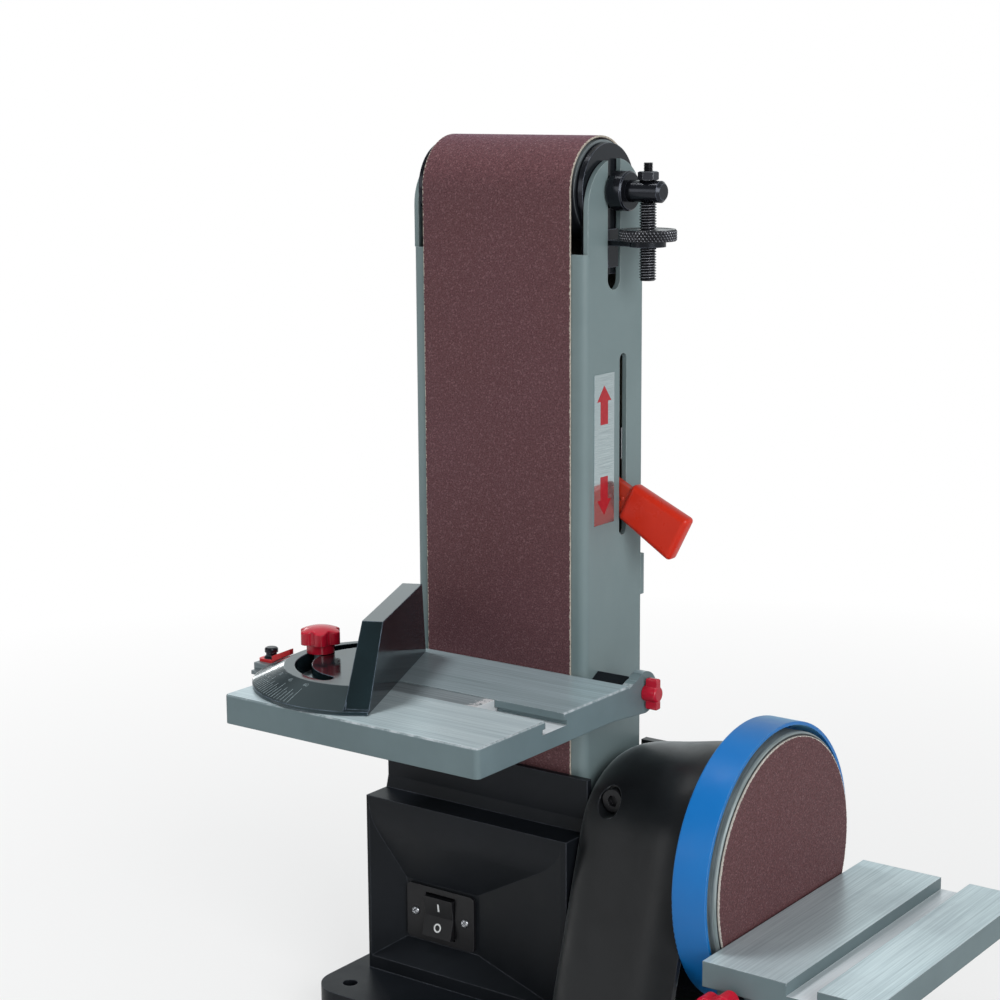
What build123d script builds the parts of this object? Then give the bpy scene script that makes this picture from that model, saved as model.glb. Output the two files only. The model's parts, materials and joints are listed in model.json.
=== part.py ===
from build123d import *
import os
from math import cos, pi, radians, sin, tan

# Bench sander with a 4 x 36 inch belt on an upright arm and a 150 mm class disc on the same motor shaft.
# Millimetres. X runs along the motor shaft towards the disc, the belt faces -Y, Z is up.
# Pieces are drawn with X = 0 at the middle of the belt, Y = 0 at the motor shaft and Z = 0 on the bench.

os.makedirs("parts", exist_ok=True)

# Belt and drums
belt_width = 101.6
belt_length = 914.4
belt_thickness = 1.0
belt_clearance = 0.3
drum_radius = 28.3
drum_width = 104.0
drum_wall = 5.0
drum_recess = 12.0
drum_crown = 0.6
rib_thickness = 3.0
rib_count = 6
idler_drop = 0.3
shaft_height = 126.6
shaft_radius = 7.5
fit_clearance = 0.03

belt_inner = drum_radius + belt_clearance
belt_outer = belt_inner + belt_thickness
belt_middle = belt_inner + belt_thickness / 2
centre_distance = (belt_length - 2 * pi * belt_middle) / 2
idler_height = shaft_height + centre_distance
idler_axis = idler_height - idler_drop

# Widths along the motor shaft; the pieces beside the arm are placed from these
arm_half_width = 60.0
sheet = 3.0
boss_length = 5.5
running_gap = 0.5
housing_length = 82.9

arm_inside = arm_half_width - sheet
boss_face = arm_half_width + boss_length
pedestal_right = boss_face + running_gap
housing_left = pedestal_right + running_gap
housing_right = housing_left + housing_length

# Bench plinth and pedestal
foot_height = 12.0
foot_radius = 16.0
foot_neck = 13.0
plinth_thickness = 12.0
plinth_margin_left = 13.0
plinth_margin_right = 28.6
plinth_depth = 196.0
plinth_corner = 20.0
bolt_inset_left = 19.0
bolt_inset_right = 18.0
bolt_inset_depth = 17.0
bolt_radius = 4.5
casting_wall = 5.0
cheek_gap = 8.5
panel_y = -55.6
ledge_height = 133.2
ledge_back = -36.6
wall_crease = 140.4
wall_top = 163.8
wall_thickness = 4.0
wall_clearance = 1.0
bay_floor = 88.0
pedestal_setback = 36.0
cheek_rear = 36.0
cheek_round = 14.0
cord_hole_radius = 8.0
cord_hole_x = -40.0
cord_hole_rise = 20.0

pedestal_left = -boss_face - cheek_gap - casting_wall
plinth_left = pedestal_left - plinth_margin_left
plinth_right = housing_right + plinth_margin_right
plinth_top = foot_height + plinth_thickness
bolt_left = plinth_left + bolt_inset_left
bolt_right = plinth_right - bolt_inset_right
bolt_spacing_x = bolt_right - bolt_left
bolt_spacing_y = plinth_depth - 2 * bolt_inset_depth
bolt_centre_x = (bolt_left + bolt_right) / 2
pedestal_rear = plinth_depth / 2 - pedestal_setback
cord_hole_z = plinth_top + cord_hole_rise
wall_back = -belt_outer - wall_clearance
wall_front = wall_back - wall_thickness

# Switch recess in the front panel
recess_top = 119.0
recess_bottom = 32.0
recess_left = pedestal_left + 2.0
recess_right = pedestal_right - 4.0
recess_depth = 14.0
recess_blend = 60.0
pocket_left = pedestal_left + 19.0
pocket_right = pocket_left + 53.0
pocket_top = 81.0
pocket_bottom = 44.0
switch_plate_thickness = 2.0
rocker_width = 22.0
rocker_height = 27.0
rocker_gap = 0.5

# Motor
housing_wall = 4.0
housing_radius = 57.5
housing_flare = 17.0
spigot_radius = 20.0
bearing_radius = 16.0
bearing_width = 9.0
bell_inset = 33.0
bell_thickness = 5.0
shell_radius = 49.0
shell_wall = 3.0
stator_length = 28.0
air_gap = 0.6
rotor_radius = 26.0
lug_overhang = 5.5
lug_reach = 14.0
lug_front = 29.5
lug_back = 35.0
lug_top = 171.2
screw_inset = 20.3
screw_z = 157.6
screw_bore = 8.0
screw_head = 6.5
screw_head_height = 6.5
screw_hex = 6.0
screw_shank = 4.0
screw_seat = -34.0
screw_boss_end = -26.0
screw_tip = -16.0

bell_x = housing_left + bell_inset
lug_left = housing_left - lug_overhang
lug_right = housing_left + lug_reach
screw_x = housing_left + screw_inset

# Disc
disc_radius = 74.2
disc_edge = 2.0
paper_radius = 72.0
paper_thickness = 1.0
disc_offset = 24.2
disc_thickness = 14.0
guard_depth = 21.0
guard_radius = 79.4
guard_sheet = 2.0
guard_window = 24.0
guard_screw_circle = 36.0
guard_screw_radius = 2.5

disc_face = housing_right + disc_offset
guard_right = housing_right + guard_depth

# Belt arm
bend_radius = 5.0
arm_rear = 28.9
fork_front = -25.7
web_rise = 24.0
web_drop = 33.9
fork_centre_drop = 9.9
fork_slot = 12.6
fork_slot_drop = 54.7
boss_radius = 25.5
pivot_clearance = 0.08
guard_gap = 1.5
guard_plate = 1.5
guard_flange = 8.0
guard_rise = 50.0
guard_drop = 70.0
tab_rise = 132.0
tab_height = 24.0

web_front = -(belt_inner - belt_clearance)
web_back = web_front + sheet
web_low = shaft_height + web_rise
web_top = idler_height - web_drop
fork_radius = (arm_rear - fork_front) / 2
fork_middle = (arm_rear + fork_front) / 2
fork_centre = idler_height - fork_centre_drop

# Tension lever
lever_drop = 143.0
lever_pivot_x = 4.0
lever_y = 9.7
lever_thickness = 5.0
lever_width = 22.0
lever_angle = -27.2
lever_slot_width = 7.2
lever_slot_length = 104.0
grip_start = 71.0
grip_end = 108.7
grip_near = 26.3
grip_far = 29.3
grip_thickness = 11.0
grip_edge = 2.5
tail_reach = 9.0
tail_pin_radius = 3.0
tail_clearance = 0.4
lever_pin_radius = 5.0
strap_half = 9.0
strap_plate = 4.0
label_width = 20.0
label_height = 85.0
label_thickness = 0.4
label_gap = 5.9

lever_height = idler_height - lever_drop

# Tension yoke and idler
yoke_plate = 3.1
yoke_radius = 26.0
yoke_leg = 22.0
yoke_length = 46.0
yoke_bar_depth = 12.0
yoke_bar_height = 6.0
stem_radius = 5.0
stem_x = -5.0
spring_length = 44.0
spring_radius = 10.0
spring_wire = 2.4
crossbar_height = 6.0
idler_shaft_radius = 6.0
shaft_overhang_left = 1.5
shaft_overhang_right = 10.0
shaft_chamfer = 1.5
idler_bearing_radius = 14.0
idler_bearing_width = 8.0
idler_hub_radius = 18.0
shaft_slack = 0.3
shaft_drop_room = 3.4
shaft_rise_room = 1.4
collar_radius = 11.0
collar_gap = 1.8
collar_width = 9.0

yoke_outside = arm_inside - running_gap
idler_shaft_left = -yoke_outside - shaft_overhang_left
collar_left = arm_half_width + collar_gap

# Tracking adjuster
stud_offset = 20.2
stud_radius = 4.75
stud_top_radius = 2.6
stud_bottom_drop = 48.3
stud_top_rise = 15.6
nut_flats = 10.0
nut_height = 5.0
wheel_radius = 16.0
wheel_thickness = 6.4
wheel_drop = 27.0
wheel_bore = 5.7
lug_plate = 3.0
lug_radius = 10.0
lug_tongue = 10.0
lug_bore = 6.2
seat_gap = 0.2

stud_x = collar_left + stud_offset
idler_shaft_right = stud_x + shaft_overhang_right

# Belt table
table_rise = 95.8
table_overhang_left = 22.0
table_overhang_right = 31.8
table_depth = 140.5
table_corner = 3.0
table_edge = 1.2
table_thickness = 16.3
table_gap = 1.4
table_skin = 8.0
table_rim = 9.0
ear_thickness = 6.0
ear_radius = 12.0
ear_back = 15.9
ear_drop = 7.2
hex_flats = 13.0
table_bolt = 4.0
table_bolt_tip = 2.8
bolt_slack = 0.1
mitre_slot_back = 72.5
mitre_slot_width = 17.5
mitre_slot_depth = 4.2
mitre_under_width = 22.5
mitre_under_height = 2.8
slide_clearance = 0.25
knob_reach = 9.0
knob_hub = 4.6
knob_wing = 3.8
knob_length = 8.5
knob_seat = 0.3

table_left = -arm_half_width - table_overhang_left
table_right = arm_half_width + table_overhang_right
table_top = shaft_height + table_rise
table_back = -belt_outer - table_gap
table_front = table_back - table_depth
table_bottom = table_top - table_thickness
ear_y = table_back + ear_back
ear_z = table_top - ear_drop
slot_y = table_back - mitre_slot_back

# Mitre gauge
mitre_bar_left = -114.5
mitre_bar_right = 46.0
mitre_pivot_x = -30.5
mitre_angle = 24.9
mitre_lip_radius = 68.5
mitre_lip_height = 1.9
mitre_top_radius = 48.3
mitre_top_shift = 2.5
mitre_head_height = 10.4
mitre_gap = 0.3
mitre_arc_radius = 40.0
mitre_arc_width = 9.5
mitre_arc_half = 62.0
fence_face = 13.2
fence_height = 42.3
fence_base = 13.9
fence_top = 11.7
fence_front_base = -64.9
fence_front_top = -31.4
fence_back_base = 66.6
fence_back_top = 59.5
fence_foot = 2.0
mitre_stud = 4.0
mitre_knob_radius = 12.2
mitre_knob_lobe = 3.9
mitre_knob_turn = 11.3
mitre_knob_dome = 28.0
mitre_hub_radius = 8.0
mitre_hub_height = 5.6
mitre_lobe_height = 9.6
pointer_half = 5.0
pointer_sheet = 1.8
pointer_root = 10.8
pointer_reach = 21.7
pointer_low = 0.8
pointer_high = 4.5
pointer_tip_width = 3.0
pointer_tip_low = 6.2
pointer_tip_high = 9.4

slot_floor = table_top - mitre_slot_depth - mitre_under_height
bar_top = table_top - slide_clearance
head_base = table_top + mitre_gap
head_top = head_base + mitre_head_height

# Disc table
disc_table_drop = 24.0
disc_table_gap = 1.6
disc_table_reach = 100.0
disc_table_width = 182.0
disc_table_thickness = 14.0
disc_pivot_reach = 18.4
trunnion_plate = 5.0
trunnion_radius = 10.0
trunnion_gap = 0.5
trunnion_bolt = 4.0
trunnion_foot = 18.0
pivot_bolt_reach = 8.0
pivot_head_height = 3.2
pivot_head_radius = 7.0
disc_knob_radius = 15.0
disc_knob_lobe = 5.2
disc_knob_thickness = 10.0

disc_table_top = shaft_height - disc_table_drop
disc_table_low = disc_table_top - disc_table_thickness
disc_table_left = disc_face + paper_thickness + disc_table_gap
disc_pivot_x = disc_face + disc_pivot_reach
disc_pivot_z = disc_table_low - trunnion_radius - 1
trunnion_y = disc_table_width / 2 - trunnion_plate


def save(piece, name):
    """Move a finished piece so the bench bolts are centred on the origin, label it and write its file."""
    placed = piece.part.moved(Location((-bolt_centre_x, 0, 0)))
    placed.label = name
    export_step(placed, "parts/" + name + ".step")


def bar_x(x0, x1, radius, y=0.0, z=shaft_height, mode=Mode.ADD):
    """Round bar along X between two stations."""
    with Locations(Location((x0, y, z), (0, 90, 0))):
        Cylinder(radius, x1 - x0, align=(Align.CENTER, Align.CENTER, Align.MIN), mode=mode)


def bar_y(y0, y1, radius, x, z, mode=Mode.ADD):
    """Round bar along Y between two stations."""
    with Locations(Location((x, y1, z), (90, 0, 0))):
        Cylinder(radius, y1 - y0, align=(Align.CENTER, Align.CENTER, Align.MIN), mode=mode)


def bar_z(z0, z1, radius, x, y, mode=Mode.ADD):
    """Round bar along Z between two heights."""
    with Locations((x, y, z0)):
        Cylinder(radius, z1 - z0, align=(Align.CENTER, Align.CENTER, Align.MIN), mode=mode)


def block(x0, x1, y0, y1, z0, z1, mode=Mode.ADD):
    """Box between two opposite corners."""
    with Locations(((x0 + x1) / 2, (y0 + y1) / 2, (z0 + z1) / 2)):
        Box(x1 - x0, y1 - y0, z1 - z0, mode=mode)


def ring_x(x0, x1, outer, inner, y=0.0, z=shaft_height):
    """Plain ring about an axis along X."""
    bar_x(x0, x1, outer, y, z)
    bar_x(x0, x1, inner, y, z, mode=Mode.SUBTRACT)


def arch_face(x, radius, foot):
    """Cross-section of the motor housing: a round top over two flared skirts."""
    flare = radians(housing_flare)
    shoulder_y = radius * cos(flare)
    shoulder_z = shaft_height + radius * sin(flare)
    foot_y = shoulder_y + (shoulder_z - foot) * tan(flare)
    with BuildSketch(Plane.YZ.offset(x)) as section:
        with BuildLine():
            Line((-foot_y, foot), (-shoulder_y, shoulder_z))
            ThreePointArc((-shoulder_y, shoulder_z), (0, shaft_height + radius), (shoulder_y, shoulder_z))
            Line((shoulder_y, shoulder_z), (foot_y, foot))
            Line((foot_y, foot), (-foot_y, foot))
        make_face()
    return section.sketch


def polar(radius, angle):
    """Point at a radius and an angle in degrees."""
    return (radius * cos(radians(angle)), radius * sin(radians(angle)))


def lobed_outline(reach, lobes, lobe_radius, turn=0.0):
    """Outline of a hand knob: a core with round lobes."""
    Circle(reach - lobe_radius * 0.75)
    with PolarLocations(reach - lobe_radius, lobes, start_angle=turn):
        Circle(lobe_radius)


# Cast base: plinth, pedestal with its front wall, ledge and switch recess, and the left arm cheek
with BuildPart() as base_casting:
    with BuildSketch(Plane.XY.offset(foot_height)):
        with Locations(((plinth_left + plinth_right) / 2, 0)):
            RectangleRounded(plinth_right - plinth_left, plinth_depth, plinth_corner)
    extrude(amount=plinth_thickness)
    with BuildSketch(Plane.YZ.offset(pedestal_left)):
        with BuildLine():
            Polyline(
                (panel_y, foot_height),
                (panel_y, ledge_height),
                (ledge_back, ledge_height),
                (wall_front, wall_crease),
                (wall_front, wall_top),
                (wall_back, wall_top),
                (wall_back, bay_floor),
                (pedestal_rear, bay_floor),
                (pedestal_rear, foot_height),
                close=True,
            )
        make_face()
    extrude(amount=pedestal_right - pedestal_left)
    with BuildSketch(Plane.YZ.offset(pedestal_left)):
        with BuildLine():
            Polyline(
                (wall_front, bay_floor),
                (wall_front, wall_top),
                (cheek_rear, wall_top),
                (cheek_rear, bay_floor),
                close=True,
            )
        make_face()
    extrude(amount=casting_wall)
    cheek_corner = base_casting.edges().filter_by(Axis.X).sort_by_distance(
        (pedestal_left + casting_wall / 2, cheek_rear, wall_top))[0]
    fillet(cheek_corner, radius=cheek_round)
    bar_x(pedestal_left, -arm_inside - 0.5, spigot_radius)
    # hollow from below, behind the switch recess
    cavity_front = panel_y + recess_depth + casting_wall
    block(pedestal_left + casting_wall, pedestal_right - casting_wall, cavity_front,
          pedestal_rear - casting_wall, foot_height, bay_floor - casting_wall, mode=Mode.SUBTRACT)
    # window under the motor
    block(pedestal_right - casting_wall - 1, housing_right - 12, -shell_radius - 1, shell_radius + 1,
          foot_height, plinth_top, mode=Mode.SUBTRACT)
    # hopper-shaped recess that narrows to the switch pocket
    with BuildSketch(Plane.XZ.offset(-panel_y)):
        with BuildLine():
            Polyline((recess_left, recess_bottom), (recess_left, recess_top), (recess_right, recess_top),
                     (recess_right, recess_bottom), close=True)
        make_face()
    with BuildSketch(Plane.XZ.offset(-panel_y - recess_depth)):
        with BuildLine():
            Polyline((pocket_left, pocket_bottom), (pocket_left, pocket_top), (pocket_right, pocket_top),
                     (pocket_right, pocket_bottom), close=True)
        make_face()
    loft(ruled=True, mode=Mode.SUBTRACT)
    mouth_middle = ((recess_left + recess_right) / 2, panel_y, recess_top)
    fillet(base_casting.edges().filter_by(Axis.X).sort_by_distance(mouth_middle)[0], radius=recess_blend)
    # opening for the switch body
    pocket_x = (pocket_left + pocket_right) / 2
    pocket_z = (pocket_top + pocket_bottom) / 2
    block(pocket_x - rocker_width / 2 - 2, pocket_x + rocker_width / 2 + 2, panel_y, cavity_front + 1,
          pocket_z - rocker_height / 2 - 2, pocket_z + rocker_height / 2 + 2, mode=Mode.SUBTRACT)
    # bench bolt holes
    with Locations((bolt_centre_x, 0, plinth_top)):
        with GridLocations(bolt_spacing_x, bolt_spacing_y, 2, 2):
            Hole(bolt_radius, depth=plinth_thickness)
    # cord hole in the rear wall
    bar_y(pedestal_rear - casting_wall - 1, pedestal_rear + 1, cord_hole_radius, cord_hole_x, cord_hole_z,
          mode=Mode.SUBTRACT)
save(base_casting, "base_casting")

# Rubber feet with a bolt hole through each
with BuildPart() as rubber_feet:
    with BuildSketch() as foot_ground:
        with Locations((bolt_centre_x, 0)):
            with GridLocations(bolt_spacing_x, bolt_spacing_y, 2, 2):
                Circle(foot_radius)
                Circle(bolt_radius, mode=Mode.SUBTRACT)
    extrude(amount=foot_height)
    rims = rubber_feet.edges().filter_by(GeomType.CIRCLE).filter_by(lambda e: e.radius == foot_radius)
    chamfer(rims.group_by(Axis.Z)[-1], length=foot_radius - foot_neck)
save(rubber_feet, "rubber_feet")

# Sheet cover under the plinth
with BuildPart() as base_plate:
    with BuildSketch(Plane.XY.offset(foot_height - 1.5)):
        with Locations((bolt_centre_x, 0)):
            RectangleRounded(bolt_spacing_x + foot_radius, bolt_spacing_y - 2 * foot_radius - 4, 8)
    extrude(amount=1.5)
save(base_plate, "base_plate")

# Cord gland in the rear wall
with BuildPart() as cord_gland:
    inner_end = pedestal_rear - casting_wall - 3
    outer_end = pedestal_rear + 8
    bar_y(inner_end, outer_end, cord_hole_radius - 0.3, cord_hole_x, cord_hole_z)
    bar_y(pedestal_rear, pedestal_rear + 4, cord_hole_radius + 3, cord_hole_x, cord_hole_z)
    bar_y(inner_end, outer_end, cord_hole_radius / 2, cord_hole_x, cord_hole_z, mode=Mode.SUBTRACT)
save(cord_gland, "cord_gland")

# Switch plate, body and rocker in the recess pocket
pocket_y = panel_y + recess_depth
plate_y = pocket_y - switch_plate_thickness
with BuildPart() as switch_plate:
    block(pocket_left + 1.5, pocket_right - 1.5, plate_y, pocket_y, pocket_bottom + 1.5, pocket_top - 1.5)
    fillet(switch_plate.edges().filter_by(Axis.Y), radius=3)
    block(pocket_x - rocker_width / 2, pocket_x + rocker_width / 2, plate_y, pocket_y,
          pocket_z - rocker_height / 2, pocket_z + rocker_height / 2, mode=Mode.SUBTRACT)
save(switch_plate, "switch_plate")

with BuildPart() as switch_body:
    block(pocket_x - rocker_width / 2 - 1.5, pocket_x + rocker_width / 2 + 1.5, pocket_y, pocket_y + 26,
          pocket_z - rocker_height / 2 - 1.5, pocket_z + rocker_height / 2 + 1.5)
    block(pocket_x - rocker_width / 2, pocket_x + rocker_width / 2, pocket_y, pocket_y + 14,
          pocket_z - rocker_height / 2, pocket_z + rocker_height / 2, mode=Mode.SUBTRACT)
    bar_x(pocket_x - rocker_width / 2, pocket_x + rocker_width / 2, 1.5, pocket_y + 2, pocket_z)
save(switch_body, "switch_body")

rocker_half = rocker_height / 2 - 3 * rocker_gap
with BuildPart() as switch_rocker:
    with BuildSketch(Plane.YZ.offset(pocket_x - rocker_width / 2 + rocker_gap)):
        with BuildLine():
            Line((plate_y - 4.5, pocket_z - rocker_half), (plate_y - 1.0, pocket_z))
            Line((plate_y - 1.0, pocket_z), (plate_y - 2.5, pocket_z + rocker_half))
            Line((plate_y - 2.5, pocket_z + rocker_half), (pocket_y + 3, pocket_z + rocker_half))
            ThreePointArc((pocket_y + 3, pocket_z + rocker_half), (pocket_y + 7, pocket_z),
                          (pocket_y + 3, pocket_z - rocker_half))
            Line((pocket_y + 3, pocket_z - rocker_half), (plate_y - 4.5, pocket_z - rocker_half))
        make_face()
    extrude(amount=rocker_width - 2 * rocker_gap)
    bar_x(pocket_x - rocker_width / 2, pocket_x + rocker_width / 2, 1.55, pocket_y + 2, pocket_z,
          mode=Mode.SUBTRACT)
save(switch_rocker, "switch_rocker")

# Motor housing: an arch that swells from the arm side, with flared skirts down to the plinth
housing_stations = ((0.0, 43.0), (7.5, 49.6), (20.0, 53.7), (40.0, 57.0))
with BuildPart() as housing_hollow:
    hollow = [arch_face(housing_left + step, radius - housing_wall, plinth_top - 1)
              for step, radius in housing_stations]
    hollow.append(arch_face(housing_right + 1, housing_radius - housing_wall, plinth_top - 1))
    loft(hollow)
    block(housing_left - 1, housing_left + housing_wall, -plinth_depth, plinth_depth, 0,
          shaft_height + 2 * housing_radius, mode=Mode.SUBTRACT)
    bar_y(-2 * housing_radius, screw_boss_end, screw_bore + housing_wall, screw_x, screw_z,
          mode=Mode.SUBTRACT)
with BuildPart() as motor_housing:
    outside = [arch_face(housing_left + step, radius, plinth_top) for step, radius in housing_stations]
    outside.append(arch_face(housing_right, housing_radius, plinth_top))
    loft(outside)
    add(housing_hollow.part, mode=Mode.SUBTRACT)
    with BuildSketch(Plane.XZ.offset(-lug_back)):
        with BuildLine():
            Polyline((lug_left, lug_top - 12), (lug_left, lug_top), (lug_right, lug_top),
                     (lug_right, shaft_height + 38), (housing_left + 4, shaft_height + 30), close=True)
        make_face()
    extrude(amount=lug_back - lug_front)
    bar_x(housing_left - 1, housing_left + housing_wall + 1, spigot_radius + belt_clearance,
          mode=Mode.SUBTRACT)
    bar_y(-2 * housing_radius, screw_seat, screw_bore, screw_x, screw_z, mode=Mode.SUBTRACT)
    bar_y(-2 * housing_radius, screw_boss_end + 1, screw_shank + 0.2, screw_x, screw_z, mode=Mode.SUBTRACT)
save(motor_housing, "motor_housing")

# Socket screw in the housing's front recess; it pulls the housing to the end bell's lug
screw_top = screw_seat - screw_head_height
with BuildPart() as housing_screw:
    bar_y(screw_top, screw_seat, screw_head, screw_x, screw_z)
    bar_y(screw_seat, screw_tip, screw_shank, screw_x, screw_z)
    with BuildSketch(Plane.XZ.offset(-screw_top)):
        with Locations((screw_x, screw_z)):
            RegularPolygon(radius=screw_hex / 2, side_count=6, major_radius=False)
    extrude(amount=-screw_hex / 2, mode=Mode.SUBTRACT)
save(housing_screw, "housing_screw")

# End bell on the arm side: its spigot passes through the housing and carries the arm
spigot_end = arm_inside + 0.5
with BuildPart() as pivot_end_bell:
    bar_x(spigot_end, bell_x, spigot_radius)
    bar_x(bell_x, bell_x + bell_thickness, shell_radius)
    block(screw_x - screw_head, screw_x + screw_head, screw_boss_end + 0.3, screw_tip + 3,
          shaft_height + spigot_radius / 2, screw_z + screw_head)
    bar_y(screw_boss_end, screw_tip + 0.5, screw_shank + fit_clearance, screw_x, screw_z, mode=Mode.SUBTRACT)
    bar_x(spigot_end, spigot_end + bearing_width + 1, bearing_radius + fit_clearance, mode=Mode.SUBTRACT)
    bar_x(spigot_end, bell_x + bell_thickness, shaft_radius + 1.5, mode=Mode.SUBTRACT)
    with Locations(Location((bell_x, 0, shaft_height), (0, 90, 0))):
        with PolarLocations((spigot_radius + shell_radius) / 2, 6):
            Cylinder(7.0, 3 * bell_thickness, mode=Mode.SUBTRACT)
save(pivot_end_bell, "pivot_end_bell")

shell_left = bell_x + bell_thickness
shell_right = housing_right - bell_thickness
with BuildPart() as motor_shell:
    ring_x(shell_left, shell_right, shell_radius, shell_radius - shell_wall)
save(motor_shell, "motor_shell")

stator_left = (shell_left + shell_right - stator_length) / 2
stator_right = stator_left + stator_length
stator_outer = shell_radius - shell_wall - fit_clearance
with BuildPart() as stator_core:
    ring_x(stator_left, stator_right, stator_outer, rotor_radius + air_gap)
save(stator_core, "stator_core")

# Copper end windings on both faces of the core
with BuildPart() as stator_windings:
    for face_x, end_x in ((shell_left + 0.5, stator_left), (stator_right, shell_right - 0.5)):
        ring_x(face_x, end_x, stator_outer - 5, rotor_radius + air_gap + 4)
save(stator_windings, "stator_windings")

hub_left = housing_right - bearing_width - 1
with BuildPart() as disc_end_bell:
    bar_x(shell_right, housing_right, shell_radius)
    bar_x(hub_left, shell_right, spigot_radius)
    bar_x(housing_right - bearing_width, housing_right, bearing_radius + fit_clearance, mode=Mode.SUBTRACT)
    bar_x(hub_left, housing_right, shaft_radius + 1.5, mode=Mode.SUBTRACT)
    with Locations(Location((shell_right, 0, shaft_height), (0, 90, 0))):
        with PolarLocations(guard_screw_circle, 4, start_angle=45):
            Cylinder(guard_screw_radius + fit_clearance, 3 * bell_thickness, mode=Mode.SUBTRACT)
save(disc_end_bell, "disc_end_bell")

# Two shielded ball bearings
with BuildPart() as motor_bearings:
    for start in (spigot_end + 1, housing_right - bearing_width):
        ring_x(start, start + bearing_width, bearing_radius, shaft_radius + fit_clearance)
save(motor_bearings, "motor_bearings")

with BuildPart() as motor_shaft:
    bar_x(-drum_width / 2, disc_face - 3, shaft_radius)
    chamfer(motor_shaft.edges().filter_by(GeomType.CIRCLE), length=1)
save(motor_shaft, "motor_shaft")

with BuildPart() as rotor_core:
    ring_x(stator_left, stator_right, rotor_radius, shaft_radius + fit_clearance)
save(rotor_core, "rotor_core")

# Drive drum: rim, hub and ribs
hub_radius = shaft_radius + 7
with BuildPart() as drive_drum:
    ring_x(-drum_width / 2, drum_width / 2, drum_radius, drum_radius - drum_wall)
    ring_x(-drum_width / 2 + drum_recess / 2, drum_width / 2 - drum_recess / 2, hub_radius,
           shaft_radius + fit_clearance)
    with BuildSketch(Plane.YZ.offset(-drum_width / 2 + drum_recess)):
        with Locations((0, shaft_height)):
            with PolarLocations((hub_radius + drum_radius - drum_wall) / 2, rib_count):
                Rectangle(drum_radius - drum_wall - hub_radius + 2, rib_thickness)
    extrude(amount=drum_width - 2 * drum_recess)
save(drive_drum, "drive_drum")

# Disc plate with its hub and a rounded rim
disc_back = disc_face - disc_thickness
with BuildPart() as disc_plate:
    bar_x(disc_back + 6, disc_face, disc_radius)
    with BuildSketch(Plane.YZ.offset(disc_back)):
        with Locations((0, shaft_height)):
            Circle(disc_radius)
            Circle(disc_radius - 8, mode=Mode.SUBTRACT)
            Circle(hub_radius + 4)
    extrude(amount=7)
    bar_x(disc_back, disc_face - 2, shaft_radius + fit_clearance, mode=Mode.SUBTRACT)
    rim = disc_plate.edges().filter_by(GeomType.CIRCLE).filter_by(lambda e: e.radius == disc_radius)
    fillet(rim.sort_by(Axis.X)[-1], radius=disc_edge)
save(disc_plate, "disc_plate")

with BuildPart() as abrasive_disc:
    bar_x(disc_face, disc_face + paper_thickness, paper_radius)
save(abrasive_disc, "abrasive_disc")

# Guard: a sheet cup round the disc, screwed to the right end bell
guard_left = housing_right
guard_floor = guard_left + guard_sheet
with BuildPart() as disc_guard:
    bar_x(guard_left, guard_right, guard_radius)
    bar_x(guard_floor, guard_right, guard_radius - guard_sheet, mode=Mode.SUBTRACT)
    bar_x(guard_left, guard_right, guard_window, mode=Mode.SUBTRACT)
    back_edge = disc_guard.edges().filter_by(GeomType.CIRCLE).filter_by(lambda e: e.radius == guard_radius)
    fillet(back_edge.sort_by(Axis.X)[0], radius=guard_sheet - 0.8)
    with Locations(Location((guard_left, 0, shaft_height), (0, 90, 0))):
        with PolarLocations(guard_screw_circle, 4, start_angle=45):
            Cylinder(guard_screw_radius + 0.2, 3 * guard_sheet, mode=Mode.SUBTRACT)
save(disc_guard, "disc_guard")

with BuildPart() as guard_screws:
    with Locations(Location((shell_right + 0.5, 0, shaft_height), (0, 90, 0))):
        with PolarLocations(guard_screw_circle, 4, start_angle=45):
            Cylinder(guard_screw_radius, guard_floor - shell_right,
                     align=(Align.CENTER, Align.CENTER, Align.MIN))
    with Locations(Location((guard_floor, 0, shaft_height), (0, 90, 0))):
        with PolarLocations(guard_screw_circle, 4, start_angle=45):
            Cylinder(2 * guard_screw_radius, guard_screw_radius,
                     align=(Align.CENTER, Align.CENTER, Align.MIN))
save(guard_screws, "guard_screws")

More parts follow.
